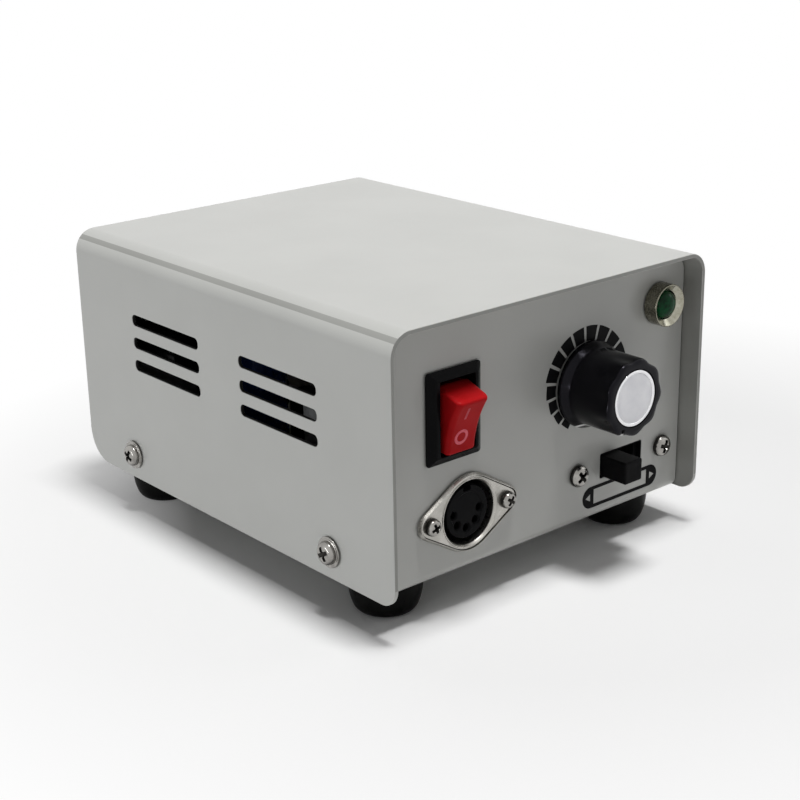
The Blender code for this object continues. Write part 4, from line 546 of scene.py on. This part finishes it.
def make_chassis():
    """Front panel, floor and rear panel in one sheet, with side lips and all its holes."""
    section = bent(FACE, HEIGHT, CHASSIS_BEND, CHASSIS_SHEET, 8)
    chassis = solid("chassis_sheet", [along_x(section, -PANEL_HALF - PAST, PANEL_HALF + PAST)])
    lip = [(-48.7, 0.6), (48.7, 0.6), (48.7, 12.0), (-48.7, 12.0)]
    carve(chassis, [along_x(lip, *sorted((sign * (PANEL_HALF - CHASSIS_SHEET), sign * (PANEL_HALF + PAST))))
                    for sign in (-1, 1)], "UNION")
    top, corner = HEIGHT - 1.3, 4.3
    outline = [(-PANEL_HALF, -PAST), (PANEL_HALF, -PAST)]
    outline += arc(PANEL_HALF - corner, top - corner, corner, 0, 1)
    outline += arc(corner - PANEL_HALF, top - corner, corner, 1, 2)
    carve(chassis, [along_y(outline, -FACE - PAST, FACE + PAST)], "INTERSECT")

    front = [rounded(13.5, 18.47, 0.5, 0, *ROCKER_AT), rounded(14.4, 6.2, 0.4, 0, *SLOT_AT)]
    front += [circle(radius, 0, *at) for radius, at in ((8.3, SOCKET_AT), (4.4, KNOB_AT), (4.2, LAMP_AT))]
    front += [circle(1.7, 0, x + sign * reach, y, 32) for sign in (-1, 1)
              for (x, y), reach in ((SOCKET_AT, FLANGE_SCREW), (SLIDE_AT, SLIDE_SCREW))]
    rear = [circle(radius, 0, *at) for radius, at in ((6.4, FUSE_AT), (5.7, GROMMET_AT), (5.0, JACK_AT))]
    cutters = [through_panel(ring, -1) for ring in front] + [through_panel(ring, 1) for ring in rear]
    for group, radius in (("foot_", 1.7), ("transformer_screw_", 1.7), ("board_support_", 1.8)):
        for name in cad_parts:
            if name.startswith(group) and not name.startswith("foot_screw"):
                x, y = (value / MM for value in centre(name)[:2])
                cutters.append([circle(radius, level, x, y, 32) for level in (-PAST, 4)])
    cutters += [along_x(flat(circle(1.8, 0, y, SIDE_SCREW_HEIGHT, 32)), -60, 60) for y in SIDE_SCREWS]
    carve(chassis, cutters)
    fit(smooth(chassis, 0.15), ENAMEL, BOX, slot="enamel", nodes=["chassis"])


# Screws

def make_screw(name, head, height, shank, tip, washer=0.0):
    """Crosshead screw about local Z, seated at zero, with a washer where it has one."""
    seat = 0.45 if washer else 0.0
    profile = [(shank * 0.5, -tip), (shank - 0.25, 0.35 - tip)]
    profile += thread(shank, shank - 0.16, 0.5 - tip, -0.35, 0.44)
    profile += [(shank - 0.05, 0)]
    if washer:
        profile += fillet([(shank, 0), (washer, 0, 0.1), (washer, seat, 0.2), (head * 1.12, 0.38),
                           (head * 1.08, seat)], 3)[1:]
    profile += fillet([(shank, seat), (head, seat, 0.12), (head, seat + height * 0.42, height * 0.28),
                       (head * 0.80, seat + height * 0.86, height * 0.16),
                       (head * 0.42, seat + height)], 4)[1:]
    profile += [(head * 0.12, seat + height)]
    screw = spun(name, profile, 40)
    top, deep, reach = seat + height + 0.3, seat + height * 0.22, head * 1.28
    arm = [(reach * 0.5, reach * 0.24, 0.05, deep), (reach, reach * 0.28, 0.12, top - 0.3),
           (reach * 1.1, reach * 0.28 * 1.1, 0.13, top)]
    carve(screw, [[rounded(*section, steps=2) for section in arm]])
    carve(screw, [[rounded(wide, long, *rest, steps=2) for long, wide, *rest in arm]])
    carve(screw, [[circle(head * 0.08, deep - 0.2, sides=24), circle(head * 0.34, top, sides=24)]])
    smooth(screw, 0.05, 40)
    screw.data.materials.append(TURNED_NICKEL)
    screw.data.materials.append(RECESS_SHADE)
    # Painted shade: faces in the cross recess, and the side of a head without washer, take the dark metal
    for face in screw.data.polygons:
        share, level = face.center.xy.length / MM / head, face.center.z / MM
        dome = seat + height * (0.98 - 0.17 * share * share)
        shade_in_cross = deep - 0.3 < level < dome - 0.10 and share < 0.72
        shade_on_rim = share > 0.95 and not washer and abs(face.normal.z) < 0.5
        face.material_index = int(shade_in_cross or shade_on_rim)
    return screw


def make_screws():
    """Screws of the side walls, the socket, the slide switch and the feet, each turned its own way."""
    cover = make_screw("side_screw_left_front", 2.75, 1.6, 1.5, 5.5, washer=3.6)
    for side, wall, forward, more in (("left", LEFT, -1, 0), ("right", RIGHT, 1, 0.4)):
        for end, y, spin in (("front", SIDE_SCREWS[0], 0.5), ("rear", SIDE_SCREWS[1], 1.1)):
            fit(twin(cover, f"side_screw_{side}_{end}"), TURNED_NICKEL, wall, forward * y,
                SIDE_SCREW_HEIGHT, 0.3, slot="nickel", nodes=[f"cover_screw_{side}_{end}"],
                spin=spin + more)
    flange = make_screw("flange_screw_left", 2.0, 1.7, 1.4, 4.0)
    switch = make_screw("switch_screw_left", 2.7, 1.7, 1.4, 4.0)
    for side, sign, spin in (("left", -1, 0.35), ("right", 1, 0.95)):
        fit(twin(flange, f"flange_screw_{side}"), TURNED_NICKEL, FRONT, SOCKET_AT[0] + sign * FLANGE_SCREW,
            SOCKET_AT[1], 1.08, slot="nickel", nodes=[f"socket_screw_{side}"], spin=spin)
        fit(twin(switch, f"switch_screw_{side}"), TURNED_NICKEL, FRONT, SLIDE_AT[0] + sign * SLIDE_SCREW,
            SLIDE_AT[1], 0.3, slot="nickel", nodes=[f"slide_screw_{side}"], spin=spin + 0.3)
    stand = make_screw("stand_screw", 2.7, 1.7, 1.4, 7.0)
    for index, name in enumerate(sorted(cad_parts)):
        if name.startswith("foot_screw_"):
            under = side_frame(*centre(name)[:2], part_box(name)[0].z + 0.002, (180, 0, 0))
            fit(twin(stand, name.replace("foot_screw", "stand_screw")), TURNED_NICKEL, under, z=0.3,
                slot="nickel", nodes=[name], spin=0.4 * index)
    bpy.data.objects.remove(stand)


def make_feet():
    """Moulded feet, broader above, with a recess for the screw."""
    profile = fillet([(1.7, 8.3), (8.5, 8.3, 0.25), (8.5, 6.2, 1.2), (8.1, 3.4, 1.2), (7.3, 1.0, 0.9),
                      (6.2, 0, 0.7), (4.0, 0, 0.3), (4.0, 4.5, 0.3), (1.7, 4.5)], 6)
    foot = smooth(spun("rubber_foot", profile, 72, True))
    for name in sorted(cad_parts):
        if name.startswith("foot_") and "screw" not in name:
            under = side_frame(*centre(name)[:2], 0)
            fit(twin(foot, "rubber_" + name), RUBBER, under, slot="rubber", nodes=[name])
    bpy.data.objects.remove(foot)


# Power switch

ROCKER_AXIS = -2.5  # behind the panel's face
ROCKER_TILT = math.radians(16)


def make_power_switch():
    """Housing with a chamfered bezel, the red rocker in it and the rocker's two marks."""
    bezel = fillet([(1.3, 0.3), (0, 0.3, 0.08), (0, 0.6, 0.15), (1.8, 1.9, 0.2), (2.0, 1.9)], 4)[1:]
    rings = [rounded(12.9, 17.87, 0.5, level) for level in (-14.0, 0.3)]
    rings += [rounded(15.6 - 2 * inset, 21.0 - 2 * inset, max(0.8 - inset * 0.2, 0.4), level)
              for inset, level in bezel]
    rings += [rounded(10.0 + 2 * gap, 17.0 + 2 * gap, 0.5, level, 0.2) for gap, level in
              ((0.24, 1.9), (0.12, 1.86), (0.03, 1.75), (0, 1.6), (0, -10.0))]
    housing = solid("switch_housing", [rings])
    carve(housing, [along_x(flat(circle(1.3, 0, 0, ROCKER_AXIS, 32)), -8, 8)])
    for sign in (-1, 1):
        clip = [(sign * 8.7, -1.6), (sign * 9.4, -1.9), (sign * 8.7, -6.5)]
        if sign < 0:
            clip = clip[::-1]
        carve(housing, [along_x(clip, -3, 3)], "UNION")
    fit(smooth(housing, 0.06), BLACK, FRONT, *ROCKER_AT, slot="black_plastic", nodes=["rocker_housing"])

    low_end, run = -6.75, 13.4

    def face_height(u):
        """Face that rises to its upper end and is dished between."""
        share = (u - low_end) / run
        return 7.0 + 0.9 * share - 0.85 * 4 * share * (1 - share)

    places = [6.65 - run * step / 24 for step in range(2, 24)]
    outline = fillet([(6.85, 8.0, 1.2)] + [(u, face_height(u)) for u in places]
                     + [(low_end, 7.0, 0.6), (-7.5, 2.0, 0.3), (-7.6, 0.4, 0.3), (-6.0, -2.0),
                        (6.0, -2.0), (7.2, 0.4, 0.3), (7.1, 2.0, 0.3)], 5)
    axis = Matrix.Translation((ROCKER_AT[0] * MM, ROCKER_AT[1] * MM, ROCKER_AXIS * MM))
    seat = FRONT @ axis @ Matrix.Rotation(ROCKER_TILT, 4, "X")
    rings = []
    # Share of the half width, and how far the outline is drawn in there
    shape = [(1, 1.35), (0.97, 0.92), (0.92, 0.55), (0.86, 0.26), (0.79, 0.08), (0.71, 0)]
    for side, inset in [(-side, inset) for side, inset in shape] + shape[::-1]:
        rings.append([(0.56 + 4.4 * side, u * (1 - inset / 24), v - inset * (v > 2.5) * 0.9)
                      for u, v in outline])
    rocker = solid("switch_rocker", [rings])
    carve(rocker, [along_x(flat(circle(1.0, 0, sides=32)), -5.6, 5.6)], "UNION")
    fit(smooth(rocker, 0.08, 36), RED, seat, body="rocker", slot="red_plastic", nodes=["power_rocker"])

    ring = [[(wide * math.cos(turn) - 0.1, high * math.sin(turn) - 2.8) for turn in full_turn(48)]
            for wide, high in ((1.90, 1.85), (1.20, 1.15))]
    line = [(-0.7, 1.9), (-0.1, 1.9), (-0.1, 5.0), (-0.7, 5.0)]
    marks = (("rocker_ring_mark", ring, PINK_INK), ("rocker_line_mark", [line], FAINT_INK))
    for name, outlines, ink in marks:
        mark = printed(name, outlines)
        for vertex in mark.data.vertices:
            vertex.co.z += face_height(vertex.co.y / MM) * MM
        fit(mark, ink, seat, body="rocker")


# Motor socket

def make_socket():
    """Flange with a sunk groove round its edge, and the insert with five contacts."""
    profile = fillet([(0.3, 0.3, 0.1), (0.3, 0.6, 0.15), (0.70, 1.35, 0.12), (0.80, 1.35, 0.04),
                      (0.84, 0.6, 0.05), (1.02, 0.6, 0.05), (1.06, 1.05)], 4)
    rings = [lozenge(inset, level) for inset, level in profile]
    inner = fillet([(8.33, 1.05), (8.12, 1.05, 0.05), (8.02, 1.3, 0.06), (7.86, 1.3, 0.06),
                    (7.42, 0.7, 0.15), (7.4, -10.0), (8.0, -10.0), (8.0, 0.3)], 4)
    rings += [circle(r, z, sides=128) for r, z in inner]
    flange = solid("flange_plate", [rings], True)
    flange.data.materials.append(NICKEL)
    flange.data.materials.append(RECESS_SHADE)
    # Painted shade: the faces of the sunk groove take the dark metal
    sunk = [0.83 < here[0] and after[0] < 1.04 for here, after in zip(profile, profile[1:])]
    for face in flange.data.polygons:
        row = face.index // 128
        face.material_index = int(row < len(sunk) and sunk[row])
    for x in (-FLANGE_SCREW, FLANGE_SCREW):
        carve(flange, [[circle(1.7, level, x, 0, 32) for level in (-2, 3)]])
    fit(smooth(flange, 0.0, 24), NICKEL, FRONT, *SOCKET_AT, slot="nickel", nodes=["socket_flange"])

    profile = fillet([(7.1, -9.7), (7.1, -6.7, 0.2), (6.1, -6.7), (6.1, 0.2, 0.25), (4.6, 0.2),
                      (4.45, 0.05), (0.4, 0.05)], 4)
    insert = spun("socket_body", profile, 96)
    turns = [math.pi * (1 + pin / 4) for pin in range(5)]
    places = [(3.8 * math.cos(turn), 3.8 * math.sin(turn)) for turn in turns]
    for x, y in places:
        bore = ((1.15, 1), (1.15, 0.0), (0.9, -0.3), (0.9, -5.8))
        carve(insert, [[circle(radius, level, x, y, 32) for radius, level in bore]])
    carve(insert, [[rounded(2.2, 3.2, 0.3, level, 0, 6.5) for level in (-5.8, 2)]])
    fit(smooth(insert, 0.08), SATIN_BLACK, FRONT, *SOCKET_AT, slot="black_plastic", nodes=["socket_insert"])

    tube = fillet([(0.52, -2.4, 0.06), (0.82, -2.4, 0.06), (0.82, -5.6), (0.52, -5.6)], 2)
    tail = [(0.6, -9.6), (0.6, -13.4), (0.4, -13.7)]
    for name, profile, wrap in (("socket_contacts", tube, True), ("socket_tails", tail, False)):
        pins = [[circle(radius, level, x, y, 24) for radius, level in profile] for x, y in places]
        fit(smooth(solid(name, pins, wrap)), BRASS, FRONT, *SOCKET_AT, slot="brass")


# Pilot lamp

def make_lamp():
    """Threaded tube with a bright cone, and the domed lens in it."""
    profile = fillet([(3.9, 0.3), (5.1, 0.3, 0.1), (5.1, 3.6, 0.15), (4.98, 3.8, 0.08), (4.8, 3.8, 0.06),
                      (3.42, 2.6, 0.1), (3.36, 2.45, 0.05), (3.36, -9.0)], 5)
    bezel = smooth(spun("lamp_ring", thread(3.9, 3.72, -8.8, -0.4, 0.4) + profile, 80, True))
    fit(bezel, LAMP_METAL, FRONT, *LAMP_AT, slot="nickel", nodes=["lamp_bezel"])
    bezel.data.materials.append(REFLECTOR)
    for face in bezel.data.polygons:
        face.material_index = int(face.center.xy.length < 4.78 * MM and face.center.z > 2.5 * MM)
    turns = [math.pi / 2 * step / 14 for step in range(1, 14)]
    dome = [(3.3, -8.0), (3.3, 1.9)]
    dome += [(3.3 * math.cos(turn), 1.9 + 2.3 * math.sin(turn)) for turn in turns]
    fit(smooth(spun("lamp_dome", dome, 64)), GREEN, FRONT, *LAMP_AT, slot="green_lens", nodes=["lamp_lens"])


# Speed knob, its cap and the dial round it

# Radius, level and depth of the flutes
KNOB_PROFILE = [
    (10.3, 0.75, 0), (10.3, 1.35, 0), (10.24, 1.6, 0), (10.1, 1.85, 0), (9.88, 2.25, 0), (9.62, 2.75, 0),
    (9.36, 3.25, 0), (9.17, 3.7, 0), (9.08, 4.2, 0), (9.05, 5.2, 0), (9.07, 7.2, 0.02), (9.08, 8.4, 0.08),
    (9.09, 9.6, 0.2), (9.1, 10.8, 0.36), (9.1, 12.0, 0.48), (9.1, 13.0, 0.54), (9.1, 14.15, 0.56),
    (9.02, 14.45, 0.56), (8.85, 14.67, 0.56), (8.55, 14.8, 0.54), (7.6, 14.8, 0.2)]
KNOB_LOBES = 9
KNOB_PHASE = math.radians(-5.5)
POINTER = math.radians(-90 - 152)


def make_speed_control():
    """Lobed knob with its pointer and silver cap, and the printed dial behind it."""
    inside = [(3.3, 10.6, 0), (3.3, 3.6, 0), (7.1, 3.6, 0), (7.1, 0.6, 0), (10.1, 0.6, 0)]
    seat = [(6.8, 14.8, 0), (6.8, 13.6, 0)]
    rings = [lobed(*ring, lobes=KNOB_LOBES, phase=KNOB_PHASE) for ring in inside + KNOB_PROFILE + seat]
    fit(smooth(solid("knob_body", [rings]), 0.0, 38), KNOB_BLACK, FRONT, *KNOB_AT, body="knob",
        slot="black_plastic", nodes=["speed_knob"])

    stripe = []
    for radius, level, depth in KNOB_PROFILE[1:]:
        row = []
        for sign, lift in ((-1, -0.05), (1, -0.05), (1, 0.035), (-1, 0.035)):
            turn = -POINTER + sign * 0.42 / radius
            reach = lobe_reach(radius, depth, turn, KNOB_LOBES, KNOB_PHASE) + lift
            raised = min(level + max(lift, 0) * (level > 14.3), 14.8)
            row.append((reach * math.cos(turn), reach * math.sin(turn), raised))
        stripe.append(row)
    fit(smooth(solid("knob_pointer", [stripe]), 0.0, 50), WHITE_INK, FRONT, *KNOB_AT, body="knob")

    profile = fillet([(6.5, 13.9), (6.5, 14.8, 0.14), (5.86, 14.8, 0.12), (5.76, 14.68), (5.74, 14.6),
                      (5.74, 13.9)], 3)
    rim = spun("knob_cap_rim", profile, 96, True)
    fit(smooth(rim), CAP_RIM, FRONT, *KNOB_AT, body="knob", slot="silver_cap")
    profile = [(5.73, 13.9), (5.73, 14.66)] + [(radius, 14.7) for radius in (5.66, 4.5, 3.0, 1.5, 0.3)]
    disc = spun("knob_cap_disc", profile, 96)
    fit(smooth(disc), SPUN_CAP, FRONT, *KNOB_AT, body="knob", slot="silver_cap", nodes=["knob_cap"])

    # Fifteen blocks that grow longer and taller clockwise
    blocks, inner, gap = [], 10.05, 3.6
    for index in range(15):
        start, stop = [-151 + 17.7 * edge + 0.09 * edge * edge for edge in (index, index + 1)]
        turns = [math.radians(90 - start - gap / 2 - (stop - start - gap) * step / 8) for step in range(9)]
        outer = min(11.4 + 0.55 * index, 13.6)
        block = [(outer * math.cos(turn), outer * math.sin(turn)) for turn in turns]
        block += [(inner * math.cos(turn), inner * math.sin(turn)) for turn in reversed(turns)]
        blocks.append(block)
    fit(printed("speed_dial_print", blocks), INK, FRONT, *KNOB_AT, 0.02)


# Direction switch

def make_direction_switch():
    """Slider in a slot lined in black as painted shade, and the printed strip with two arrows."""
    wall = [(13.7, 5.5, 0.3, -3.8), (14.3, 6.1, 0.35, -3.8), (14.3, 6.1, 0.35, -0.08),
            (14.1, 5.9, 0.35, -0.03), (13.7, 5.5, 0.3, -0.3)]
    # Black liner: painted shade on the cut edge of the slot
    shade_liner = smooth(solid("slot_shade_liner", [[rounded(*ring) for ring in wall]], True))
    fit(shade_liner, SATIN_BLACK, FRONT, *SLOT_AT, slot="black_plastic")
    # Black block as painted shade at the end of the slot; it hides the switch's metal plate when the slider
    # stands there
    stop = solid("slot_shade_stop", [[rounded(1.2, 5.6, 0.1, level) for level in (-3.8, -1.3)]])
    fit(stop, SATIN_BLACK, FRONT, SLIDE_AT[0] + 6.9, SLIDE_AT[1], slot="black_plastic")

    profile = fillet([(0, -4.2, 0.1), (0, 7.5, 0.42), (1.2, 7.5), (1.6, 7.42)], 5)
    rings = [rounded(5.8 - 2 * inset, 5.4 - 2 * inset, 0.45 if inset <= 0 else 0.35, level)
             for inset, level in profile]
    slider = solid("switch_slider", [rings])
    fit(smooth(slider, 0.05), SATIN_BLACK, FRONT, *SLIDER_AT, body="slider", slot="black_plastic",
        nodes=["direction_slider"])

    def pill(width, height):
        radius = height / 2
        offset = width / 2 - radius
        return arc(offset, 0, radius, -1, 1, 16) + arc(-offset, 0, radius, 1, 3, 16)

    window = [(-9.25, -1.85), (9.25, -1.85), (9.25, 1.85), (-9.25, 1.85)]
    arrows = [[(sign * 10.4, -0.95), (sign * 10.4, 0.95), (sign * 12.0, 0)] for sign in (-1, 1)]
    fit(printed("direction_print", [pill(26.0, 5.4), window] + arrows), INK, FRONT, *STRIP_AT, 0.02)


# Rear panel

def make_rear():
    """Fuse holder with its cap, mains grommet, and pedal jack with its ring nut."""
    profile = fillet([(6.1, -30.0, 0.4), (6.1, 0.3), (7.5, 0.3, 0.1), (7.5, 1.9, 0.4), (4.8, 1.9, 0.15),
                      (4.8, -28.0)], 5)
    body = spun("fuse_body", profile, 80)
    fit(smooth(body), BLACK, REAR, -FUSE_AT[0], FUSE_AT[1], slot="black_plastic",
        nodes=["fuse_holder_body"])
    rings = [(2.9, -0.5, 0), (2.9, -3.8, 0), (4.5, -3.8, 0), (4.5, 2.2, 0), (6.0, 2.2, 0), (6.2, 2.4, 0),
             (6.2, 3.2, 0.05), (6.2, 3.8, 0.4), (6.2, 13.0, 0.4), (6.15, 13.5, 0.35), (5.95, 13.9, 0.2),
             (5.6, 14.15, 0.1), (5.2, 14.2, 0)]
    cap = solid("fuse_cap_grip", [[lobed(*ring, steps=12) for ring in rings]])
    carve(cap, [[rounded(16, 1.4, 0.1, level) for level in (13.0, 16)]])
    fit(smooth(cap, 0.08, 42), BLACK, REAR, -FUSE_AT[0], FUSE_AT[1], body="fuse_cap", slot="black_plastic",
        nodes=["fuse_cap"])

    profile = fillet([(3.4, 3.1, 0.5), (7.2, 3.1, 0.9), (7.8, 0.3, 0.3), (5.4, 0.3), (5.4, -1.5),
                      (7.8, -1.5, 0.3), (7.2, -4.3, 0.9), (3.4, -4.3, 0.5)], 6)
    grommet = spun("lead_grommet", profile, 80, True)
    fit(smooth(grommet), RUBBER, REAR, -GROMMET_AT[0], GROMMET_AT[1], slot="rubber",
        nodes=["mains_grommet"])

    profile = [(7.2, -24.0), (7.2, -1.5), (4.7, -1.5)] + thread(4.7, 4.52, -1.2, 4.4, 0.4)
    profile += [(4.6, 4.6), (4.4, 4.8), (3.55, 4.8), (3.3, 4.55), (3.3, -22.5)]
    jack = spun("jack_body", profile, 80)
    fit(smooth(jack), BLACK, REAR, -JACK_AT[0], JACK_AT[1], slot="black_plastic", nodes=["pedal_jack"])
    knurl = [(6.2, 2.7, 0), (6.65, 2.5, 0.05), (6.8, 2.3, 0.16), (6.8, 0.6, 0.16), (6.65, 0.35, 0.05),
             (6.5, 0.3, 0)]
    rings = [circle(5.0, 2.7, sides=240)]
    rings += [lobed(*ring, lobes=40, steps=6) for ring in knurl] + [circle(5.0, 0.3, sides=240)]
    nut = solid("jack_ring_nut", [rings], True)
    fit(smooth(nut, 0, 40), NICKEL, REAR, -JACK_AT[0], JACK_AT[1], slot="nickel", nodes=["pedal_jack_nut"])


def dress_inner_nodes():
    """Materials for the nodes that stay as they are."""
    looks = {
        "rocker_terminal": BRASS, "lamp_nut": NICKEL, "pot_nut": NICKEL, "pot_shaft": NICKEL,
        # slide_contact_base takes black plastic as painted shade, darkening the slot beside the slider
        "potentiometer": ZINC, "slide_frame": ZINC, "slide_contact_base": SATIN_BLACK,
        "fuse_holder_nut": BLACK, "fuse_link": GLASS, "transformer_core": LAMINATION,
        "transformer_winding": COIL, "transformer_strap": ZINC, "transformer_screw": NICKEL,
        "circuit_board": BOARD, "board_support": NYLON, "main_capacitor": SLEEVE, "heat_sink": SINK,
        "power_transistor": SATIN_BLACK, "bridge_rectifier": SATIN_BLACK,
    }
    for name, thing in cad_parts.items():
        for start, material in looks.items():
            if name.startswith(start):
                for place in thing.material_slots:
                    place.material = material


# Floor, light and camera

def clear_rays(tree):
    """One for the rays that see the white surroundings: camera, mirror and glass."""
    path = node(tree, "ShaderNodeLightPath").outputs
    seen = summed(tree, path["Is Camera Ray"], path["Is Glossy Ray"], clamp=True)
    return summed(tree, seen, path["Is Transmission Ray"], clamp=True)


def make_stage():
    """Cloth that takes the shadow and runs out to plain white, in white surroundings that light little."""
    reach, depth = 6000, 20
    corners = ((-reach, -reach), (reach, -reach), (reach, reach), (-reach, reach))
    floor = solid("floor", [[[(x, y, level) for x, y in corners] for level in (-depth, 0)]])
    material = bpy.data.materials.new("floor")
    material.use_nodes = True
    tree = material.node_tree
    tree.nodes.clear()
    clear = clear_rays(tree)
    grey = blended(tree, clear, (0.68, 0.68, 0.68), (0.98, 0.98, 0.98))
    cloth = node(tree, "ShaderNodeBsdfDiffuse", Color=grey)
    glow = spans(tree, clear, 0.52, 1.0, 0, 1)
    white = node(tree, "ShaderNodeEmission", Color=(1, 1, 1, 1), Strength=glow)
    place = node(tree, "ShaderNodeTexCoord").outputs["Object"]
    place = node(tree, "ShaderNodeMapping", Vector=place, Location=(-0.03, 0.03, 0)).outputs["Vector"]
    away = node(tree, "ShaderNodeVectorMath", {"operation": "LENGTH"}, Vector=place).outputs["Value"]
    mixed = tree.nodes.new("ShaderNodeMixShader")
    near, far = 0.09, 0.18  # where the cloth ends and the white starts, in metres
    tree.links.new(spans(tree, away, 0, 1, near, far), mixed.inputs[0])
    tree.links.new(cloth.outputs[0], mixed.inputs[1])
    tree.links.new(white.outputs[0], mixed.inputs[2])
    output = tree.nodes.new("ShaderNodeOutputMaterial")
    tree.links.new(mixed.outputs[0], output.inputs["Surface"])
    floor.data.materials.append(material)

    world = bpy.data.worlds.new("studio")
    bpy.context.scene.world = world
    world.use_nodes = True
    tree = world.node_tree
    back = tree.nodes["Background"]
    tree.links.new(blended(tree, clear_rays(tree), (0.12, 0.12, 0.12), (1, 1, 1)), back.inputs["Color"])


def lamp(name, place, aim, size, share, colour=(1, 1, 1)):
    """Soft box that lights a surface facing it at a share of the plain level."""
    light = bpy.data.lights.new(name, "AREA")
    light.shape, light.size, light.size_y = "RECTANGLE", *size
    away = Vector(aim) - Vector(place)
    light.energy = math.pi ** 2 * away.length_squared * share
    light.color = colour
    turned = away.to_track_quat("-Z", "Y").to_matrix().to_4x4()
    place_new(name, light).matrix_world = Matrix.Translation(place) @ turned


def make_light():
    lamp("overhead_box", place=(0.04, -0.17, 1.28), aim=(0, 0, 0.05), size=(0.22, 0.32), share=0.77)
    lamp("left_box", place=(-1.30, 0.18, 0.11), aim=(0, 0, 0.04), size=(0.9, 0.16), share=0.26,
         colour=(0.97, 0.985, 1.0))
    lamp("right_strip", place=(0.98, -0.39, 0.61), aim=(0.038, -0.056, 0.058), size=(0.6, 0.36), share=0.07)


def make_camera():
    """Camera fitted to the outline of the box in the photograph."""
    right = Vector((0.7593092924699087, -0.6505031207514911, -0.01717813323437667))
    down = Vector((-0.2296834363720392, -0.24321533003525575, -0.9423862383822109))
    ahead = Vector((0.6088472036768982, 0.7195081605711037, -0.3340854523118433))
    lens = bpy.data.cameras.new("camera")
    lens.lens, lens.sensor_width, lens.clip_start, lens.clip_end = 73.249, 36.0, 0.01, 50.0
    camera = place_new("camera", lens)
    turned = Matrix((right, -down, -ahead)).transposed().to_4x4()
    camera.matrix_world = Matrix.Translation((-0.245677, -0.297285, 0.164723)) @ turned
    bpy.context.scene.camera = camera


make_camera()
make_cover()
make_chassis()
make_screws()
make_feet()
make_power_switch()
make_socket()
make_lamp()
make_speed_control()
make_direction_switch()
make_rear()
dress_inner_nodes()
make_stage()
make_light()
bpy.context.scene.view_settings.view_transform = "Standard"
